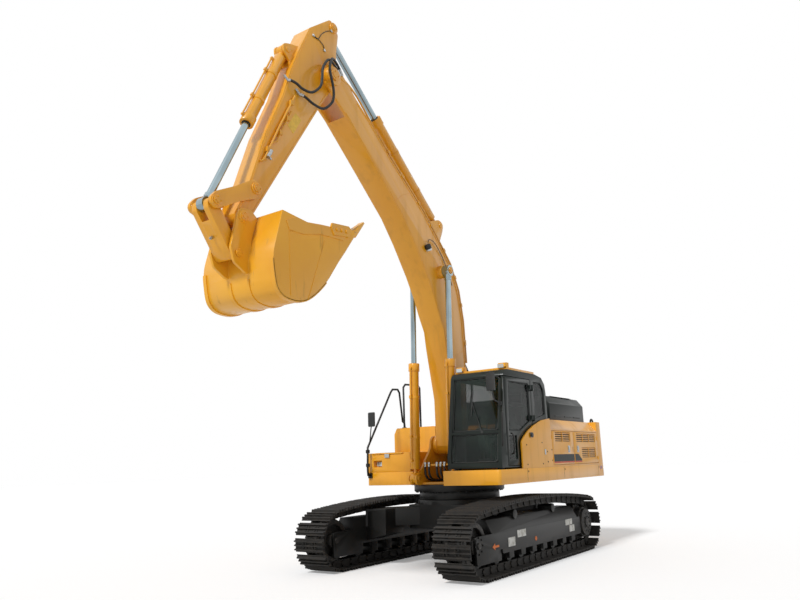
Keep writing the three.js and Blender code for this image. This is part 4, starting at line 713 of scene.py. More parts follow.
def louvres(name, body, x0, x1, z0, z1, side):
    """Pressed slats in a door's opening, in front of dark mesh, with dividers between."""
    tilt = 0.014
    back_near, back_far = sorted((side * 1.4835, side * 1.4855))
    mesh = block(name + "_mesh", (x0, back_near, z0), (x1, back_far, z1), 0)
    fit(mesh, body, "black_paint", mesh_black)
    count = max(3, round((z1 - z0) / slat_pitch))
    slats = []
    for k in range(count):
        z = z0 + (z1 - z0) * (k + 0.5) / count
        outline = [
            (side * 1.486, z + tilt), (side * 1.498, z - tilt * 0.4),
            (side * 1.4985, z - tilt * 0.55), (side * 1.486, z + tilt * 0.75),
        ]
        slats.append(cut_plate("slat", outline, x0 + 0.002, x1 - 0.002, "x"))
    parts = max(2, round((x1 - x0) / divider_pitch))
    for k in range(1, parts):
        x = x0 + (x1 - x0) * k / parts
        near, far = sorted((side * 1.486, side * door_face))
        slats.append(block("divider", (x - 0.009, near, z0), (x + 0.009, far, z1), 0))
    fit(smooth(welded(name, *slats), 25), body, "yellow_paint", yellow)


louvres("louvres_left_front", "left_door_front", -2.711, -2.045, 1.927, 2.084, 1)
louvres("louvres_left_rear_upper", "left_door_rear", -3.991, -3.035, 1.926, 2.073, 1)
louvres("louvres_left_rear_lower", "left_door_rear", -3.971, -3.265, 1.635, 1.815, 1)
louvres("louvres_right", "right_door", -3.991, -3.035, 1.926, 2.073, -1)

bright_plate = mottled(
    "bright_plate", patches(60, 4, 0.45, 0.75), "b9bcbc", "8c9090",
    (0.22, 0.3), (0.08, 0.001), (0.95, -0.2),
)


def latch(name, body, x, z, side):
    """A paddle latch: a dished bright plate with its lever across it and a lock below."""
    inner, outer = side * door_face, side * (door_face + 0.005)
    near, far = sorted((inner, outer))
    plate = block(name, (x - 0.045, near, z - 0.062), (x + 0.045, far, z + 0.062), 0.002)
    near, far = sorted((outer, side * 1.5125))
    lever = block("lever", (x - 0.034, near, z - 0.012), (x + 0.034, far, z + 0.046), 0.003)
    lock = round_bar("lock", (x, outer, z - 0.038), (x, side * 1.510, z - 0.038), 0.012, 14, 0.002)
    fit(welded(name, plate, lever, lock), body, "pipe_steel", bright_plate)


latch("latch_left_front", "left_door_front", -1.46 + middle_x, 1.79, 1)
latch("latch_left_rear", "left_door_rear", -1.895 + middle_x, 1.79, 1)
latch("latch_right", "right_door", -1.98 + middle_x, 1.79, -1)

plate_black = mottled(
    "plate_black", patches(6, 3), "0c1613", "14201b",
    (0.3, 0.2, 24, 3), (200, 2, 0.04, 0.001), Specular_IOR_Level=0.25,
)
plate_red = mottled("plate_red", patches(8, 3), "c2321c", "d03a20", (0.35, 0.2, 24, 3))
for side, stem, body, x0, x1, slope in (
    (1, "left_1", "left_door_front", -1.690, -0.765, 0.0),
    (1, "left_2", "left_door_rear", -2.06, -1.732, 0.16),
    (-1, "right_1", "right_door", -2.36, -1.81, 0.16),
):
    plate = [(x1, 1.575), (x1, 1.70), (x0 + slope, 1.70), (x0, 1.600), (x0, 1.575)]
    strip = [(x0, 1.552), (x1, 1.552), (x1, 1.572), (x0, 1.572)]
    for name, outline, finish in (
        ("blank_plate_", plate, plate_black), ("red_line_", strip, plate_red),
    ):
        outline = [(x + middle_x, z) for x, z in outline]
        sheet = cut_plate(name + stem, outline, side * 1.5003, side * 1.5018)
        fit(sheet, body, "black_paint", finish)

knuckles = []
for x, side in ((-1.9085, 1), (-4.0883, 1), (-4.0883, -1)):
    for z in (1.62, 2.0):
        ends = [(x, side * 1.502, z + step) for step in (-0.035, 0.035)]
        knuckles.append(round_bar("knuckle", *ends, 0.009, 12, 0.002))
fit(welded("door_knuckles", *knuckles), "upper", "yellow_paint", yellow)
screw_places = (
    (-0.69, 1.78), (-0.69, 1.60), (-0.50, 1.75), (-0.50, 1.58),
    (-0.30, 1.90), (-0.30, 1.55), (0.30, 1.86), (0.30, 1.55),
)
screws = [pointing((x + middle_x, door_face, z), (0, 1, 0)) for x, z in screw_places]
screws = smooth(copies(hex_bolt("panel_screw", 0.011, 0.006), "panel_screws", screws), 30)
fit(screws, "upper", "black_paint", black_enamel)
corners = (-0.435 + middle_x, door_face, 1.70), (-0.385 + middle_x, 1.508, 1.79)
catch = block("panel_catch", *corners, 0.003)
fit(catch, "upper", "pipe_steel", bright_plate)


# Engine hood: a pressed lid in black enamel, hinged at its rear edge, stiffened by raised ribs
# across its top and short ribs along both sides.
hood_enamel = mottled(
    "hood_enamel",
    lambda place: facing_up(place) * place.noise(2.2, 5).fade(0.35, 0.75) * 0.5,
    "0d1512", "2c2f2a", (0.34, 0.5), (180, 2, 0.07, 0.001), Specular_IOR_Level=0.25,
)
finished("engine_hood", "black_paint", hood_enamel, 0.012)
low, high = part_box("engine_hood")
ribs = [
    block("rib", (x, -1.02, high[2] - 0.002), (x + 0.05, 0.16, high[2] + 0.016), 0.007)
    for x in (-3.98, -3.78, -3.58, -3.38, -3.18, -2.98)
]
ribs += [
    block("rib", (x, side * 1.2005 - 0.006, 2.40), (x + 0.34, side * 1.2005 + 0.006, 2.425), 0.004)
    for x in (-4.05, -3.60, -3.15) for side in (1, -1)
]
fit(welded("hood_ribs", *ribs), "engine_hood", "black_paint", hood_enamel)
# Tanks, tool box and its lid: folded yellow sheet on the right side, with a black screw cap on
# each filler neck, a latch on the lid and a lamp let into the tool box's front.
for node in ("fuel_tank", "hydraulic_tank", "tool_box", "tool_box_lid"):
    finished(node, "yellow_paint", yellow, 0.008)
hard_plastic = mottled(
    "hard_plastic", patches(7, 3), "161717", "222423", (0.42, 0.15, 50, 2), (420, 2, 0.15, 0.0006)
)
caps = []
for x, y, z, radius in ((-0.42, -1.18, 2.345, 0.075), (-1.08, -0.90, 2.300, 0.112)):
    x, wing = x + middle_x, radius * 0.75
    caps.append(round_bar("cap", (x, y, z - 0.02), (x, y, z + 0.022), radius, 24, 0.006))
    caps.append(block(
        "grip", (x - wing, y - 0.012, z + 0.02), (x + wing, y + 0.012, z + 0.04), 0.005,
    ))
fit(welded("filler_caps", *caps), "upper", "black_paint", hard_plastic)
lid_latch = block("lid_latch", (-0.462, -1.09, 1.74), (-0.4575, -0.99, 1.808), 0.002)
fit(lid_latch, "tool_box_lid", "pipe_steel", bright_plate)
lens_glass, shader, place = new_finish("lens_glass")
flutes = place.node("ShaderNodeTexWave", {}, {"Vector": place, "Scale": 22.0})
lay(
    shader,
    Base_Color=flutes.tint(shade("dfe6e8"), shade("b9c4c8")),
    Roughness=flutes * 0.1 + 0.04,
    Metallic=0.35,
    Normal=raised(flutes, 0.25, 0.002),
    Coat_Weight=1.0,
)
box_lamp = block("box_lamp_lens", (-0.565, -1.335, 1.592), (-0.548, -1.205, 1.668), 0.008)
fit(box_lamp, "upper", "pipe_steel", lens_glass)
orange_lens, shader, place = new_finish("orange_lens")
cells = place.node("ShaderNodeTexVoronoi", {}, {"Vector": place, "Scale": 80.0})
lay(
    shader, Base_Color=cells.tint(shade("e06a1a"), shade("b94c10")), Roughness=cells * 0.2 + 0.12,
    Coat_Weight=0.8,
)
for name, low, high, finish in (
    ("deck_strip", (-0.4785, -1.30, 1.345), (-0.4745, -0.90, 1.395), white_enamel),
    ("deck_marker", (-0.4785, -0.86, 1.340), (-0.4735, -0.70, 1.400), orange_lens),
):
    fit(block(name, low, high, 0.001), "upper", "yellow_paint", finish)


# Handrails: bent steel tube in black enamel, one up the right side of the steps and one along
# the fuel tank, with a small mirror on an arm at the outer rail's front bend.
for node in ("outer_handrail", "inner_handrail"):
    finished(node, "black_paint", black_enamel, 0)
rail_clamps = [
    block(
        "clamp", (-0.418, -1.445, z - 0.03), (-0.368, -1.385, z + 0.03), 0.006,
    ) for z in (1.62, 1.86)
]
fit(welded("rail_clamps", *rail_clamps), "upper", "black_paint", black_enamel)
mirror_glass = mottled(
    "mirror_glass", patches(8, 4, 0.4, 0.8), "cfd6d8", "aab0b0", (0.03, 0.15), Metallic=1.0
)
back = block("right_mirror", (-0.475, -1.44, 2.30), (-0.435, -1.29, 2.56), 0.018)
arm_rod = round_bar("right_mirror_arm", (-0.455, -1.415, 2.02), (-0.455, -1.37, 2.34), 0.010, 12)
fit(welded("right_mirror", arm_rod, back), "upper", "black_paint", hard_plastic)
face = block("right_mirror_glass", (-0.478, -1.425, 2.32), (-0.4745, -1.305, 2.54), 0.001)
fit(face, "upper", "pipe_steel", mirror_glass)


# Machinery under the covers: engine, radiator, air cleaner, swing motor and control valve,
# castings and drums in grey-black with oil film.
oily_casting = mottled(
    "oily_casting", patches(5, 5, 0.45, 0.7), "4a4d4a", "23231f",
    (0.7, -0.35), (60, 5, 0.3, 0.003), Metallic=0.3,
)
for node in ("engine", "radiator", "air_cleaner", "swing_drive", "control_valve"):
    finished(node, "black_paint", oily_casting, 0.006)
spool_ends = [
    round_bar("spool_end", (-1.268, y, z), (-1.215, y, z), 0.028, 14, 0.004)
    for y in (-0.20, -0.10, 0.0, 0.10, 0.20) for z in (1.50, 1.72)
]
fit(welded("spool_ends", *spool_ends), "upper", "pipe_steel", bright_plate)


# Hoses: two high-pressure hoses climb from the valve over the boom's foot pin to the steel
# pipes on its back; black rubber over wire braid, with a bright swaged union at each foot.
hose_rubber, shader, place = new_finish("hose_rubber")
wrap = place.node(
    "ShaderNodeTexWave", {"bands_direction": "DIAGONAL"},
    {"Vector": place, "Scale": 60.0, "Distortion": 1.5},
)
lay(
    shader,
    Base_Color=place.noise(20, 4).fade(0.35, 0.75).tint(shade("121414"), shade("262826")),
    Roughness=place.noise(35, 3) * 0.2 + 0.45,
    Normal=raised(wrap, 0.25, 0.0015),
)


def route(corners, steps=6):
    """One smooth line through the corners, passing each of them."""
    points = [Vector(corner) for corner in corners]
    ends = [points[0] * 2 - points[1], *points, points[-1] * 2 - points[-2]]
    line = []
    for k in range(1, len(ends) - 2):
        p0, p1, p2, p3 = ends[k - 1 : k + 3]
        for i in range(steps):
            t = i / steps
            line.append(
                0.5 * (2 * p1 + (p2 - p0) * t + (2 * p0 - 5 * p1 + 4 * p2 - p3) * t * t
                + (3 * p1 - p0 - 3 * p2 + p3) * t * t * t)
            )
    return [*line, points[-1]]


def skin(name, rings, angle):
    """A shape stretched over rings of points, each joined to the next."""
    bpy.ops.object.select_all(action="DESELECT")
    bpy.ops.mesh.primitive_grid_add(
        x_subdivisions=len(rings[0]) - 1, y_subdivisions=len(rings) - 1, size=1
    )
    piece = named(name)
    for vertex, spot in zip(piece.data.vertices, [spot for ring in rings for spot in ring]):
        vertex.co = spot
    return smooth(closed(piece), angle)


def tube(name, line, radius, sides=10):
    """A tube of even width along a line, closed at both ends."""
    ahead, behind = [*line[1:], line[-1]], [line[0], *line[:-1]]
    tangents = [(b - a).normalized() for a, b in zip(behind, ahead)]
    across = tangents[0].orthogonal().normalized()
    rings = [[line[0]] * (sides + 1)]
    for point, tangent in zip(line, tangents):
        across = (across - across.dot(tangent) * tangent).normalized()
        beside = tangent.cross(across)
        turns = [2 * math.pi * (i % sides) / sides for i in range(sides + 1)]
        rings.append([
            point + radius * (math.cos(t) * across + math.sin(t) * beside)
            for t in turns
        ])
    return skin(name, [*rings, [line[-1]] * (sides + 1)], 50)


def hang(hose, line, diameter, far_end, lay, **held):
    """Adds up the length along the hose's line and keeps nothing; the fittings it carries are not
    used.
    """
    sum((b - a).length for a, b in zip(line, line[1:]))


def beam(pin, lean):
    """Gives a beam's places by the distance from its pin, above the pins' line and sideways."""
    return lambda along, above, y=0.0: pin + Vector(
        (along * math.cos(lean) - above * math.sin(lean), y,
         along * math.sin(lean) + above * math.cos(lean))
    )


boom_lean = math.radians(58.04)
on_boom = beam(Vector((0.190 + middle_x, 0, 1.936)), boom_lean)
foot_hoses = (
    ("left", 0.060, ((0.780, 1.060), (0.920, 1.060), (1.050, 1.040))),
    ("right", -0.060, ((0.700, 1.120), (0.920, 1.100), (1.085, 1.020))),
)
for label, y, over in foot_hoses:
    rise = ((-0.210, 1, 1.911), (-0.215, 1, 2.080), (-0.330, 1.6, 2.500), (-0.400, 2.2, 2.900))
    corners = [(x + middle_x, share * y, z) for x, share, z in rise]
    line = route([*corners, *[on_boom(along, above, 2.42 * y) for along, above in over]], 6)
    hose = tube("foot_hose_" + label + "_run", line, 0.0215, 12)
    hose.data.materials.append(hose_rubber)
    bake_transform(hose)
    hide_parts("foot_hose_" + label)
    frame["nodes"]["foot_hose_" + label].material_slots[0].material = hose_rubber
    hang(hose, line, 0.043, "object", "hanging")
    sleeve = round_bar("sleeve", line[0], line[4], 0.026, 14, 0.003)
    nut = round_bar("nut", line[0], line[1], 0.031, 6, 0.002)
    fit(welded("foot_hose_union_" + label, sleeve, nut), "upper", "pipe_steel", bright_plate)


# Swing and travel hoses: five short hoses that come forward over the belly plate and turn up
# in the open nose of the upper frame, where bright unions hold them to a cross bar.
bar_low, bar_high = (0.613 + middle_x, -0.3146, 1.575), (0.645 + middle_x, 0.3146, 1.607)
cross_bar = block("nose_cross_bar", bar_low, bar_high, 0.005)
fit(cross_bar, "upper", "yellow_paint", yellow)
nose_turns = (
    (0.220, 1.327), (0.330, 1.327), (0.460, 1.333), (0.570, 1.356), (0.640, 1.410),
    (0.665, 1.490), (0.663, 1.560), (0.656, 1.635),
)
for number, y in enumerate((-0.260, -0.182, -0.022, 0.055, 0.132)):
    line = route([(x + middle_x, y, z) for x, z in nose_turns], 5)
    nose_hose = tube("nose_hose_" + str(number + 1), line, 0.018, 10)
    fit(nose_hose, "upper", "black_rubber", hose_rubber)
    union = [
        round_bar("sleeve", line[-1], line[-6], 0.0225, 14, 0.003),
        round_bar("nut", line[-1], line[-3], 0.028, 6, 0.003),
        round_bar("plate_clip", line[3], line[4], 0.0205, 12, 0.002),
    ]
    union = welded("nose_union_" + str(number + 1), *union)
    fit(union, "upper", "pipe_steel", bright_plate)
    hang(nose_hose, line, 0.036, "fitting", "hanging", with_pieces=[union])


# Cab: a pressed steel frame in deep green-black enamel with glass bonded into rubber, a roof
# hatch, and a door hung from its rear post with a grab bar on each side of the doorway.
cab_enamel = mottled(
    "cab_enamel",
    lambda place: place.noise(1.8, 4).fade(0.4, 0.8) * 0.3 + facing_up(place) * 0.2,
    "0b1712", "1c2a23", (0.3, 0.5), (190, 2, 0.05, 0.001),
    Specular_IOR_Level=0.25, Coat_Weight=0.12, Coat_Roughness=0.1,
)
finished("cab_frame", "cab_paint", cab_enamel, 0.006)
finished("cab_door", "cab_paint", cab_enamel, 0.004)
finished("roof_hatch", "cab_paint", cab_enamel, 0.010)
tinted_glass, shader, place = new_finish("tinted_glass")
smear = place.noise(3.0, 4).fade(0.45, 0.8)
lay(
    shader,
    Base_Color=smear.tint(shade("0d1a15"), shade("26382f")),
    Roughness=0.02 + smear * 0.08,
    Alpha=0.42 + smear * 0.10,
    Specular_IOR_Level=0.45,
)
for node in (
    "left_glass", "right_glass", "rear_glass", "windscreen", "lower_windscreen", "door_glass",
    "lower_door_glass",
):
    frame["nodes"][node].material_slots[0].material = tinted_glass

glazing_rubber = mottled(
    "glazing_rubber", patches(16, 3), "0f1211", "1b1f1d", (0.55, 0.15, 30, 2), (300, 2, 0.1, 0.0008)
)


def rubber_frame(pane, body, corners):
    """A rubber strip pressed round a pane, mitred at its corners."""
    line = []
    ring = [Vector(corner) for corner in corners]
    for a, b, c in zip(ring[-1:] + ring[:-1], ring, ring[1:] + ring[:1]):
        back, on = (a - b).normalized(), (c - b).normalized()
        line += [b + back * 0.04, b + back * 0.012 + on * 0.012, b + on * 0.04]
    strip = tube("rubber_" + pane, [*line, line[0]], 0.011, 8)
    fit(strip, body, "black_rubber", glazing_rubber)


left_side, left_door = 1.448, 1.449
near_post, far_post = 1.384, 0.560
for pane, body, corners in (
    ("left_glass", "upper", [
        (-1.76, left_side, 2.30), (-1.365, left_side, 2.30),
        (-1.365, left_side, 2.92), (-1.76, left_side, 2.92)]),
    ("door_glass", "cab_door", [
        (-1.14, left_door, 2.095), (-0.365, left_door, 2.095),
        (-0.42, left_door, 2.87), (-1.14, left_door, 2.87)]),
    ("windscreen", "upper", [
        (-0.1395 + 0.004, far_post, 2.098), (-0.1395 + 0.004, near_post, 2.098),
        (-0.288 + 0.006, near_post, 2.942), (-0.288 + 0.006, far_post, 2.942)]),
    ("lower_windscreen", "upper", [
        (-0.070, far_post, 1.610), (-0.070, near_post, 1.610),
        (-0.136, near_post, 2.036), (-0.136, far_post, 2.036)]),
):
    rubber_frame(pane, body, corners)

wiper = [
    round_bar("wiper_post", (-0.145, 1.10, 2.066), (-0.115, 1.10, 2.072), 0.022, 14, 0.003),
    round_bar("wiper_arm", (-0.122, 1.10, 2.075), (-0.205, 0.90, 2.55), 0.007, 8),
    round_bar("wiper_blade", (-0.172, 0.895, 2.33), (-0.236, 0.905, 2.75), 0.008, 6),
]
fit(welded("wiper", *wiper), "upper", "black_paint", hard_plastic)
grab_bars = (
    ("door_grab_bar", "cab_door", 0.011,
     [(-0.335, 1.5, 1.72), (-0.325, 1.545, 1.76), (-0.325, 1.545, 2.0), (-0.335, 1.5, 2.04)]),
    ("cab_grab_bar", "upper", 0.012,
     [(-0.105, 1.463, 1.86), (-0.06, 1.49, 1.89), (-0.10, 1.49, 2.32), (-0.17, 1.463, 2.36)]),
)
for name, body, radius, corners in grab_bars:
    fit(tube(name, route(corners, 5), radius), body, "black_paint", black_enamel)
door_handle = [
    block("handle_plate", (-1.11, 1.5185, 1.98), (-1.00, 1.5225, 2.06), 0.003),
    block("handle_paddle", (-1.10, 1.522, 2.00), (-1.02, 1.534, 2.04), 0.005),
]
fit(welded("door_handle", *door_handle), "cab_door", "black_paint", hard_plastic)
hinge_leaves = [
    block("leaf", (-1.36, 1.462, z - 0.04), (-1.25, 1.470, z + 0.04), 0.002) for z in (2.310, 2.820)
]
fit(welded("cab_hinge_leaves", *hinge_leaves), "upper", "cab_paint", cab_enamel)
vent = block("vent_plate", (-1.30, 1.4635, 1.70), (-1.265, 1.4665, 1.86), 0.001)
fit(vent, "upper", "pipe_steel", bright_plate)


# Roof lamps and left mirror: two cast housings painted yellow with fluted glass in front, and
# a black plastic mirror on its bent arm.
finished("roof_lamps", "yellow_paint", yellow, 0.010)
low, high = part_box("roof_lamps")
lenses = [
    block(
        "lens", (high[0] - 0.004, y - 0.055, high[2] - 0.085),
        (high[0] + 0.008, y + 0.055, high[2] - 0.02), 0.006,
    )
    for y in (low[1] + 0.09, high[1] - 0.09)
]
fit(welded("roof_lamp_lenses", *lenses), "upper", "pipe_steel", lens_glass)
finished("cab_mirror", "black_paint", hard_plastic, 0.006)


# Seat: foam cushions covered in charcoal weave, blown to their covers' full shape, with a
# piped seam round each; the base under them is moulded plastic.
finished("cab_console", "cab_plastic", hard_plastic, 0.012)
seat_cloth, shader, place = new_finish("seat_cloth")
warp = place.node("ShaderNodeTexWave", {"bands_direction": "X"}, {"Vector": place, "Scale": 95.0})
weft = place.node("ShaderNodeTexWave", {"bands_direction": "Z"}, {"Vector": place, "Scale": 95.0})
lay(
    shader,
    Base_Color=(warp * weft + place.noise(6, 3) * 0.3)
    .fade(0.1, 0.9)
    .tint(shade("24282b"), shade("434a4e")),
    Roughness=place.noise(12, 2) * 0.1 + 0.82,
    Normal=raised(warp + weft, 0.4, 0.0015),
    Sheen_Weight=0.4,
)


def stuffed(piece, cap):
    """Blows a cushion up inside its cover, never further than the cap, and rounds it off."""
    steps = 20
    only(piece)
    piece.modifiers.new("skin", "REMESH").voxel_size = 0.008
    bpy.ops.object.modifier_apply(modifier="skin")
    start = [vertex.co.copy() for vertex in piece.data.vertices]
    cover = piece.modifiers.new("cover", "CLOTH")
    cover.settings.use_pressure = True
    cover.settings.uniform_pressure_force = 4
    cover.settings.effector_weights.gravity = 0
    cover.point_cache.frame_start = 1
    cover.point_cache.frame_end = steps
    for number in range(1, steps + 1):
        bpy.context.scene.frame_set(number)
    bpy.ops.object.modifier_apply(modifier="cover")
    bpy.context.scene.frame_set(1)
    for vertex, before in zip(piece.data.vertices, start):
        moved = vertex.co - before
        if moved.length > cap:
            vertex.co = before + moved.normalized() * cap
    only(piece)
    piece.modifiers.new("round", "SUBSURF").levels = 1
    bpy.ops.object.modifier_apply(modifier="round")
    return smooth(piece, 80)


seat_parts = {
    "seat_base_cushion": [
        (-0.285, 1.900), (0.215, 1.900), (0.218, 2.000), (-0.165, 1.985), (-0.245, 1.99),
    ],
    "seat_back_cushion": [
        (-0.225, 2.040), (-0.185, 2.020), (-0.340, 2.560), (-0.415, 2.545), (-0.320, 2.18),
    ],
    "seat_head_cushion": [(-0.412, 2.605), (-0.350, 2.605), (-0.365, 2.770), (-0.438, 2.765)],
}
for name, outline in seat_parts.items():
    half = 0.135 if "head" in name else 0.242
    cushion = cut_plate(name, [(x + middle_x, z) for x, z in outline], 1.0 - half, 1.0 + half)
    broken_edges(cushion, 0.012, 2, 40)
    cushion = stuffed(cushion, 0.013)
    fit(cushion, "upper", "seat_cloth", seat_cloth)
    loop = [Vector((x + middle_x, 1.0, z)) for x, z in outline]
    centre = sum(loop, Vector()) / len(loop)
    for side, label in both_sides:
        edge = Vector((0, side * (half - 0.012), 0))
        line = [centre + (corner - centre) * 0.97 + edge for corner in loop]
        seam = tube(name + "_piping_" + label, route([*line, line[0]], 5), 0.006, 6)
        fit(seam, "upper", "seat_cloth", glazing_rubber)
pedestal = [
    block("pedestal", (-0.25 + middle_x, 0.82, 1.578), (0.15 + middle_x, 1.18, 1.70), 0.01),
    block("bellows", (-0.19 + middle_x, 0.87, 1.695), (0.09 + middle_x, 1.13, 1.895), 0.02),
    block("back_shell", (-0.30 + middle_x, 0.80, 2.02), (-0.27 + middle_x, 1.20, 2.06), 0.008),
]
pedestal += [
    round_bar("head_post", (-0.372 + middle_x, y, 2.53), (-0.40 + middle_x, y, 2.62), 0.008)
    for y in (0.93, 1.07)
]
base = welded("seat_pedestal", *pedestal)
fit(base, "upper", "cab_plastic", hard_plastic)
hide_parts("seat")
frame["nodes"]["seat"].material_slots[0].material = seat_cloth

levers = []
for name, across, x0, z0, x1, z1, radius, faces, edge in (
    ("lever", (0.65, 1.325), 0.05, 2.10, 0.065, 2.28, 0.011, 10, 0),
    ("knob", (0.65, 1.325), 0.063, 2.25, 0.072, 2.36, 0.024, 14, 0.008),
    ("travel_lever", (0.94, 1.06), 0.52, 1.60, 0.62, 2.12, 0.010, 10, 0),
    ("travel_grip", (0.94, 1.06), 0.60, 2.02, 0.625, 2.15, 0.018, 12, 0.005),
):
    for y in across:
        ends = (x0 + middle_x, y, z0), (x1 + middle_x, y, z1)
        levers.append(round_bar(name, *ends, radius, faces, edge))
for y in (0.94, 1.06):
    corners = (0.56 + middle_x, y - 0.05, 1.62), (0.70 + middle_x, y + 0.05, 1.64)
    levers.append(block("pedal", *corners, 0.005))
fit(welded("control_levers", *levers), "upper", "cab_plastic", hard_plastic)
# Boom: a welded box of thick plates, arched at mid length, yellow; its side plates stand a
# little past the top and bottom plates, so a fillet weld runs along every edge.
arm_lean = math.radians(-58.92)
tip_pin = on_boom(6.477, 0.0)
on_arm = beam(tip_pin, arm_lean)
finished("boom", "yellow_paint", yellow, 0.007)
lower_edge = [
    (0.35, 0.135), (0.756, 0.283), (1.613, 0.580), (1.900, 0.699), (2.220, 0.716), (2.500, 0.751),
    (2.950, 0.756), (3.570, 0.716), (4.075, 0.646), (4.940, 0.386), (5.900, 0.086),
]
upper_edge = [
    (0.25, 0.35), (1.000, 0.915), (1.757, 1.343), (2.281, 1.536), (2.789, 1.570), (3.387, 1.424),
    (3.885, 1.295), (4.301, 1.125), (4.999, 0.843), (5.701, 0.612), (6.0, 0.47),
]
def bead(places, beam_side, radius=0.006):
    """A fillet weld along a line on a plate."""
    return tube("bead", [beam_side(s, n) for s, n in places], radius, 6)


beads, boom_half = [], 0.210
for side in (1, -1):
    edge_side = lambda s, n: on_boom(s, n, side * (boom_half + 0.0005))
    plate_side = lambda s, n: on_boom(s, n, side * (boom_half + 0.0002))
    beads += [bead(edge, edge_side, 0.007) for edge in (lower_edge, upper_edge)]
    for s, n0, n1 in ((1.3, 0.46, 1.09), (4.32, 0.58, 1.11)):
        beads.append(bead([(s, n0), (s + 0.03, (n0 + n1) / 2), (s, n1)], plate_side, 0.005))
    turns = [k * math.pi / 12 for k in range(-4, 21)]
    beads.append(bead([(0.19 * math.cos(t), 0.19 * math.sin(t)) for t in turns], edge_side, 0.007))
fit(welded("boom_welds", *beads), "boom", "yellow_paint", yellow)


def pin_cover(name, centre, side, face, radius, body, screws=4):
    """The end plate that keeps a pin in: a turned disc, its rim and its screws."""
    out = lambda reach: centre + Vector((0, side * (face + reach), 0))
    disc = round_bar(name, out(0), out(0.012), radius, 28, 0.003)
    rim = round_bar("rim", out(0.010), out(0.018), radius * 0.55, 24, 0.003)
    heads = screw_ring("screw", out(0.011), (0, side, 0), radius * 0.78, screws, 0.010, 0.010)
    fit(welded(name, disc, rim, heads), body, "yellow_paint", yellow)


lift_foot, lift_eye = Vector((0.795 + middle_x, 0, 1.380)), on_boom(2.800, 1.169)
for side, label in both_sides:
    pin_cover("boom_foot_cover_" + label, on_boom(0, 0), side, 0.312, 0.085, "boom", 6)
    pin_cover("boom_tip_cover_" + label, tip_pin, side, 0.3125, 0.088, "boom")
    pin_cover("lift_pin_cover_" + label, lift_eye, side, 0.4405, 0.062, "lift_rod_" + label)
    pin_cover("lift_foot_cover_" + label, lift_foot, side, 0.4765, 0.056, "upper")

pipe_paint = sprayed_yellow("pipe_yellow", "dd9a1c", "e6a524", 0.35)
finished("boom_pipes", "pipe_steel", pipe_paint, 0)
clamps = []
for s, n, lean in (
    (1.38, 1.20, 0.52), (2.02, 1.51, 0.40), (2.53, 1.625, 0.07), (3.09, 1.57, -0.24),
    (3.62, 1.43, -0.28), (4.09, 1.28, -0.37), (4.63, 1.06, -0.37), (5.10, 0.89, -0.37),
):
    stand = Matrix.Translation(on_boom(s, n)) @ Matrix.Rotation(-(boom_lean + lean), 4, "Y")
    clamp = block("clamp", (-0.035, 0.118, -0.028), (0.035, 0.222, 0.030), 0.005)
    clamp.data.transform(stand)
    screw = hex_bolt("clamp_screw", 0.012, 0.012)
    screw.data.transform(stand @ Matrix.Translation((0, 0.170, 0.030)))
    clamps += [clamp, screw]
fit(smooth(welded("pipe_clamps", *clamps), 30), "boom", "pipe_steel", pipe_paint)


# Work lamp on the boom's left side: a round black pot on a bracket, with its lead clipped
# down the boom in a loop.
pot = [
    round_bar("pot", on_boom(3.30, 1.02, 0.245), on_boom(3.38, 1.02, 0.245), 0.062, 24, 0.010),
    block("foot", (-0.02, -0.02, -0.03), (0.02, 0.02, 0.03), 0.004),
]
pot[1].data.transform(Matrix.Translation(on_boom(3.34, 1.02, 0.222)))
fit(welded("boom_lamp", *pot), "boom", "black_paint", hard_plastic)
glass_disc = round_bar(
    "boom_lamp_glass", on_boom(3.265, 1.02, 0.245), on_boom(3.302, 1.02, 0.245), 0.055, 24, 0.008,
)
fit(glass_disc, "boom", "pipe_steel", lens_glass)
lead = (
    (3.37, 1.03, 0.250), (3.43, 1.16, 0.236), (3.30, 1.32, 0.228), (2.95, 1.42, 0.222),
    (2.45, 1.42, 0.219),
)
line = route([on_boom(*place) for place in lead], 8)
fit(tube("boom_lamp_lead", line, 0.006, 8), "boom", "black_rubber", hose_rubber)


# Lift cylinders: honed tubes in yellow paint with bolted heads and a hard pipe along each;
# their rods are hard chrome on ground steel.
hard_chrome = mottled(
    "hard_chrome", patches(2.0, 3, 0.35, 0.75), "a9bac0", "8fa0a7",
    (0.14, 0.14), (320, 2, 0.03, 0.0004), Metallic=1.0,
)


def collar(name, start, end, bore, radius):
    """A ring that slips over a tube."""
    sides, long = 24, (end - start).length
    turns = [2 * math.pi * (i % sides) / sides for i in range(sides + 1)]
    rings = [
        [(reach * math.cos(t), reach * math.sin(t), height) for t in turns]
        for reach, height in ((bore, 0), (radius, 0), (radius, long), (bore, long), (bore, 0))
    ]
    piece = skin(name, rings, 40)
    piece.data.transform(pointing(start, end - start))
    return piece


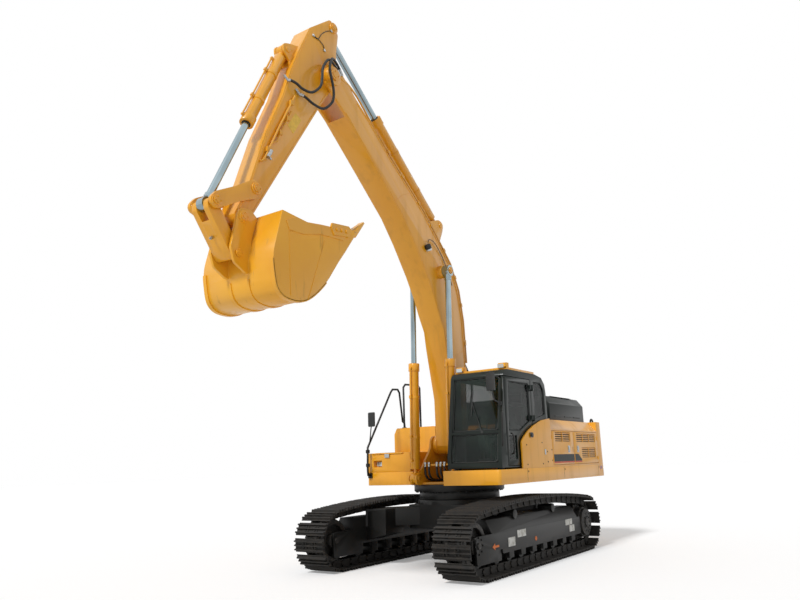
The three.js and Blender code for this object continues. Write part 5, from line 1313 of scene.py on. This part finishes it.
def cylinder_trim(stem, body, foot, eye, radius, length, out):
    """Head screws, a wiper ring, two straps and the hard pipe that a cylinder's tube carries."""
    along = (eye - foot).normalized()
    up = along.cross(Vector((0, 1, 0))).normalized() * out
    head = foot + along * length
    made = [screw_ring(
        "head_screw", head - along * 0.001, tuple(along), radius + 0.001, 10, 0.009, 0.009,
    )]
    reach = radius + 0.030
    run = (
        (0.30, radius * 0.8), (0.31, reach), (0.40, reach), (length * 0.55, reach),
        (length - 0.20, reach), (length - 0.10, reach), (length - 0.08, radius * 0.9),
    )
    made.append(tube("pipe", route([foot + along * s + up * n for s, n in run], 5), 0.013, 10))
    for s in (length - 0.08, 0.29):
        port = foot + along * s
        ends = port + up * (radius * 0.92), port + up * (reach + 0.016)
        made.append(round_bar("port", *ends, 0.024, 14, 0.004))
    for share in (0.35, 0.7):
        at, half = foot + along * (length * share), along * 0.022
        made.append(collar("strap", at - half, at + half, radius * 0.97, radius + 0.006))
        lug = block("lug", (-0.022, -0.024, -0.024), (0.022, 0.024, 0.024), 0.004)
        lug.data.transform(pointing(at + up * reach, up))
        made.append(lug)
    fit(smooth(welded(stem + "_trim", *made), 35), body, "yellow_paint", yellow)
    ends = head - along * 0.004, head + along * 0.010
    wiper = collar(stem + "_wiper", *ends, radius * 0.5, radius * 0.74)
    fit(wiper, body, "black_rubber", glazing_rubber)


lift_offset, lift_radius, lift_length = 0.378, 0.084, 1.960
for side, label in both_sides:
    finished("lift_barrel_" + label, "yellow_paint", yellow, 0.005)
    finished("lift_rod_" + label, "chrome_rod", hard_chrome, 0)
    beside = Vector((0, side * lift_offset, 0))
    ends = lift_foot + beside, lift_eye + beside
    cylinder_trim(
        "lift_cylinder_" + label, "lift_barrel_" + label, *ends, lift_radius, lift_length, -1
    )


# Arm cylinder and bucket cylinder: of the same build as the lift cylinders, pinned on the
# boom's back and on the arm's back.
lever_end = on_arm(3.342, 0.420)
for stem, foot, eye, radius, length in (
    ("arm", on_boom(3.500, 1.880), on_arm(-0.881, 0.374), 0.096, 2.314),
    ("bucket", on_arm(0.310, 0.740), lever_end, 0.084, 1.574),
):
    finished(stem + "_barrel", "yellow_paint", yellow, 0.005)
    finished(stem + "_rod", "chrome_rod", hard_chrome, 0)
    cylinder_trim(stem + "_cylinder", stem + "_barrel", foot, eye, radius, length, 1)


# Arm: a tapering welded box with a forked tail; two steel pipes are clipped along its left
# side, and a plain yellow sheet is stuck on each side.
finished("arm", "yellow_paint", yellow, 0.006)
beads = []
low_line = [
    (-0.40, 0.045), (-0.19, -0.09), (0.05, -0.165), (0.20, -0.122), (0.70, -0.108), (2.954, -0.092),
    (3.10, -0.09),
]
high_line = [
    (-0.30, 0.66), (0.184, 0.604), (0.614, 0.533), (1.079, 0.424), (1.883, 0.319), (2.757, 0.120),
    (3.10, 0.08),
]
for side in (1, -1):
    arm_side = lambda s, n: on_arm(s, n, side * 0.1603)
    beads += [bead(edge, arm_side) for edge in (low_line, high_line)]
    for s, n, radius in ((0, 0, 0.17), (3.187, 0, 0.10), (2.715, 0.062, 0.105)):
        turns = [k * math.pi / 12 for k in range(25)]
        boss = [(s + radius * math.cos(t), n + radius * math.sin(t) * 0.9) for t in turns]
        beads.append(bead(boss, arm_side))
fit(welded("arm_welds", *beads), "arm", "yellow_paint", yellow)
for side, label in both_sides:
    pin_cover("arm_tail_cover_" + label, on_arm(-0.881, 0.374), side, 0.1855, 0.060, "arm")

pipes = []
for start, stop, n0, n1 in ((0.93, 2.30, 0.300, 0.18), (1.20, 1.90, 0.215, 0.165)):
    run = (
        (start, n0, 0.190), (start + 0.1, n0 - 0.01, 0.190),
        ((start + stop) / 2, (n0 + n1) / 2, 0.190),
        (stop - 0.1, n1, 0.190), (stop, n1 + 0.03, 0.180),
    )
    pipes.append(tube("pipe", route([on_arm(*place) for place in run], 6), 0.015, 10))
    for s in (start + 0.15, stop - 0.25):
        share = (s - start) / (stop - start)
        at = on_arm(s, n0 + (n1 - n0) * share)
        corners = (at.x - 0.03, 0.160, at.z - 0.035), (at.x + 0.03, 0.210, at.z + 0.035)
        pipes.append(block("clip", *corners, 0.005))
fit(smooth(welded("arm_pipes", *pipes), 35), "arm", "pipe_steel", pipe_paint)
valve = [
    round_bar("valve", on_arm(2.03, 0.16, 0.195), on_arm(2.16, 0.15, 0.195), 0.030, 16, 0.005),
    round_bar("valve_end", on_arm(2.14, 0.15, 0.195), on_arm(2.14, 0.09, 0.195), 0.016, 12, 0.003),
]
fit(welded("arm_valve", *valve), "arm", "pipe_steel", bright_plate)
decal = mottled(
    "yellow_decal", patches(18, 3, 0.35, 0.7), "f3c21e", "dcae1c", (0.3, 0.2), Coat_Weight=0.4
)
corners = ((3.136, 6.551), (3.017, 6.486), (3.178, 6.211), (3.293, 6.301))
fit(cut_plate("arm_decal", corners, 0.1602, 0.1614), "arm", "yellow_paint", decal)
fit(cut_plate("arm_decal_right", corners, -0.1614, -0.1602), "arm", "yellow_paint", decal)


# Bucket hoses: two hoses swing in open S-bends from the pipes on the boom's back to the arm's
# left side, with bright elbows; thin grease lines run to the pins.
hose_lines = {
    "tip_hose_upper": [
        (3.323, 0.186, 6.975), (3.285, 0.222, 6.975), (3.220, 0.258, 6.947), (3.104, 0.275, 6.905),
        (2.928, 0.290, 6.930), (2.813, 0.345, 7.058), (2.780, 0.350, 7.212), (2.763, 0.350, 7.385),
        (2.660, 0.345, 7.564), (2.527, 0.300, 7.641), (2.368, 0.250, 7.640), (2.215, 0.215, 7.560),
    ],
    "tip_hose_lower": [
        (3.088, 0.186, 6.862), (3.015, 0.232, 6.835), (2.879, 0.272, 6.767), (2.663, 0.275, 6.786),
        (2.545, 0.345, 6.930), (2.530, 0.355, 7.126), (2.592, 0.365, 7.300), (2.626, 0.365, 7.452),
        (2.574, 0.350, 7.610), (2.474, 0.300, 7.700), (2.301, 0.240, 7.700), (2.150, 0.205, 7.600),
    ],
}
for name, corners in hose_lines.items():
    line = route(corners, 5)
    hose = tube(name, line, 0.020, 12)
    hose.data.materials.append(hose_rubber)
    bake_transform(hose)
    hang(hose, line, 0.040, "object", "loose")
    steps = ((-0.004, 0.004, 0), (0.030, -0.003, 0.028), (0.062, -0.012, 0.062))
    elbow = tube("elbow", route([line[0] + Vector(step) for step in steps], 6), 0.018, 10)
    sleeve = round_bar("sleeve", line[0], line[4], 0.0245, 14, 0.002)
    fit(smooth(welded(name + "_elbow", elbow, sleeve), 40), "arm", "pipe_steel", bright_plate)
    sleeve = round_bar(name + "_sleeve", line[-1], line[-4], 0.0245, 14, 0.002)
    fit(sleeve, "boom", "pipe_steel", bright_plate)
    reach = (line[-1] - line[-2]).normalized() * 0.06
    corners = [line[-1], line[-1] + reach, on_boom(6.10, 0.560, 0.190), on_boom(5.42, 0.795, 0.170)]
    steel = tube(name + "_pipe", route(corners, 6), 0.015, 10)
    fit(steel, "boom", "pipe_steel", pipe_paint)
grease = []
for corners in (
    [
        (2.768, 0.1665, 8.014), (2.700, 0.170, 7.995), (2.648, 0.170, 8.019), (2.595, 0.170, 8.114),
        (2.480, 0.170, 8.230), (2.362, 0.170, 8.300),
    ],
    [
        (2.768, 0.1665, 7.988), (2.700, 0.170, 7.985), (2.630, 0.170, 7.985), (2.545, 0.170, 7.937),
        (2.526, 0.1665, 7.880),
    ],
):
    grease.append(tube("line", route(corners, 6), 0.0055, 8))
fit(welded("grease_lines", *grease), "arm", "pipe_steel", hose_rubber)
unions = [
    block("union", (x - 0.02, 0.160, z - 0.02), (x + 0.02, 0.182, z + 0.02), 0.004)
    for x, z in ((2.775, 8.00), (2.526, 7.87), (2.36, 8.30))
]
fit(welded("grease_unions", *unions), "arm", "pipe_steel", bright_plate)


# Levers and link: forged arms and a welded link that turn the bucket, yellow, with an end
# plate screwed over each of the levers' pins.
for node in ("tilt_levers", "bucket_link"):
    finished(node, "yellow_paint", yellow, 0.007)
for side, label in both_sides:
    for stem, centre in (
        ("lever_pin_cover_", on_arm(2.715, 0.062)), ("lever_end_cover_", lever_end),
    ):
        pin_cover(stem + label, centre, side, 0.2365, 0.058, "tilt_levers")


# Bucket: rolled plate with heavy side plates, a cast lip and bolted teeth; yellow all over,
# scuffed where the tools and earth rub it, with wear straps welded round the back.
scuffed_yellow, shader, place = new_finish("scuffed_yellow")
stretched = place.node("ShaderNodeMapping", {}, {0: place, 3: (9.0, 9.0, 1.2)})
streaks = stretched.noise(1.0, 5).fade(0.62, 0.8)
cloud = place.noise(1.4, 4).fade(0.3, 0.7)
lay(
    shader,
    Base_Color=streaks.tint(cloud.tint(shade("e6a11c"), shade("eead26")), shade("a87a2c")),
    Roughness=0.32 + streaks * 0.35 + cloud * 0.06,
    Normal=raised(place.noise(150, 3) + place.noise(14, 3) * 0.8, 0.14, 0.002),
    Coat_Weight=0.2,
)
finished("bucket", "yellow_paint", scuffed_yellow, 0.008)
bucket_pin = on_arm(3.187, 0.0)


def on_bucket(x, z, y=0.0):
    """A point on the bucket, from the pin that hangs it on the arm."""
    return bucket_pin + Vector((x, y, z))


shell = route(
    [(-0.160, 0, -0.260), (-0.100, 0, -0.524), (-0.117, 0, -0.744), (-0.184, 0, -0.970),
     (-0.359, 0, -1.066), (-0.676, 0, -1.035), (-1.011, 0, -0.779), (-1.298, 0, -0.402)], 6,
)
straps = []
for y, first, last in ((0.135, 13, 36), (-0.195, 13, 36), (0.585, 8, 38), (-0.645, 8, 38)):
    outer, inner = [], []
    for k in range(first, last):
        along = (shell[k + 1] - shell[k - 1]).normalized()
        across = Vector((-along.z, 0, along.x)) * 0.011
        outer.append(on_bucket(shell[k].x + across.x, shell[k].z + across.z))
        inner.append(on_bucket(shell[k].x - across.x, shell[k].z - across.z))
    straps.append(cut_plate("strap", [
        (p.x, p.z)
        for p in [*outer, *reversed(inner)]
    ], y, y + 0.060))
fit(smooth(welded("bucket_straps", *straps), 30), "bucket", "yellow_paint", scuffed_yellow)

sides = []
band = [
    (-0.47, 0.032), (-0.694, 0.012), (-0.965, 0.050), (-1.52, 0.108), (-1.40, -0.060),
    (-0.95, -0.085), (-0.62, -0.170), (-0.36, -0.175), (-0.30, -0.06),
]
cutter = [
    (-1.13, 0.072), (-1.15, 0.128), (-1.50, 0.168), (-1.565, 0.122), (-1.50, 0.010),
    (-1.19, -0.035),
]
for side in (1, -1):
    for outline, thick in ((band, 0.012), (cutter, 0.030)):
        near, far = sorted((side * 0.6445, side * (0.645 + thick)))
        plate = cut_plate("plate", [tuple(on_bucket(x, z).xz) for x, z in outline], near, far)
        sides.append(broken_edges(plate, 0.004))
    for x in (-1.25, -1.35, -1.45):
        z = 0.055 - (x + 1.25) * 0.12
        ends = [on_bucket(x, z, side * y) for y in (0.674, 0.692)]
        sides.append(round_bar("bolt", *ends, 0.027, 16, 0.005))
    for ends in (
        ((-0.72, -1.0), (-1.02, -0.16)), ((-0.40, -1.02), (-0.36, -0.20)),
        ((-0.36, -0.19), (-0.95, -0.10)),
    ):
        sides.append(bead(ends, lambda x, z: on_bucket(x, z, side * 0.6455)))
fit(welded("bucket_side_cutters", *sides), "bucket", "yellow_paint", scuffed_yellow)
link_end = on_arm(3.640, -0.198)
for side, label in both_sides:
    pin_cover("bucket_pin_cover_" + label, bucket_pin, side, 0.2262, 0.060, "bucket")
    pin_cover("link_pin_cover_" + label, link_end, side, 0.2212, 0.054, "bucket")


# Tooth points: five cast points on the lip, worn to bare steel at their tips, each held to its
# adapter by a cross pin.
worn_tip = mottled(
    "worn_tip", patches(16, 4, 0.4, 0.65), "d99a22", "8d8578",
    (0.35, 0.15), (60, 4, 0.2, 0.002), (0, 0.7),
)
outline = [
    (-1.60, 0.055), (-1.72, 0.145), (-1.890, 0.330),
    (-1.875, 0.340), (-1.66, 0.195), (-1.56, 0.115),
]
outline = [tuple(on_bucket(x, z).xz) for x, z in outline]
teeth, tooth_pitch = [], 1.180 / 4
for k in range(-2, 3):
    y = k * tooth_pitch
    point = cut_plate("point", outline, y - 0.052, y + 0.052)
    for vertex in point.data.vertices:
        if vertex.co.z > on_bucket(0, 0.30).z:
            vertex.co.y = y + (vertex.co.y - y) * 0.72
    teeth.append(broken_edges(point, 0.006))
    ends = [on_bucket(-1.665, 0.135, y + half) for half in (-0.058, 0.058)]
    teeth.append(round_bar("cross_pin", *ends, 0.016, 14, 0.003))
fit(welded("tooth_points", *teeth), "bucket", "yellow_paint", worn_tip)


# Link trim: the grease nipple on the link's outer face, of bright plated steel, screwed into
# its hexagon seat.
link_along = (link_end - lever_end).normalized()
link_out = Vector((-link_along.z, 0, link_along.x))
if link_out.x < 0:
    link_out = -link_out
face = lever_end + link_along * 0.40 + link_out * 0.128
nipple = round_bar("nipple", face - link_out * 0.03, face + link_out * 0.022, 0.012, 12, 0.003)
seat = round_bar("nipple_seat", face - link_out * 0.03, face + link_out * 0.006, 0.022, 6, 0.002)
fit(welded("link_nipple", nipple, seat), "bucket_link", "pipe_steel", bright_plate)
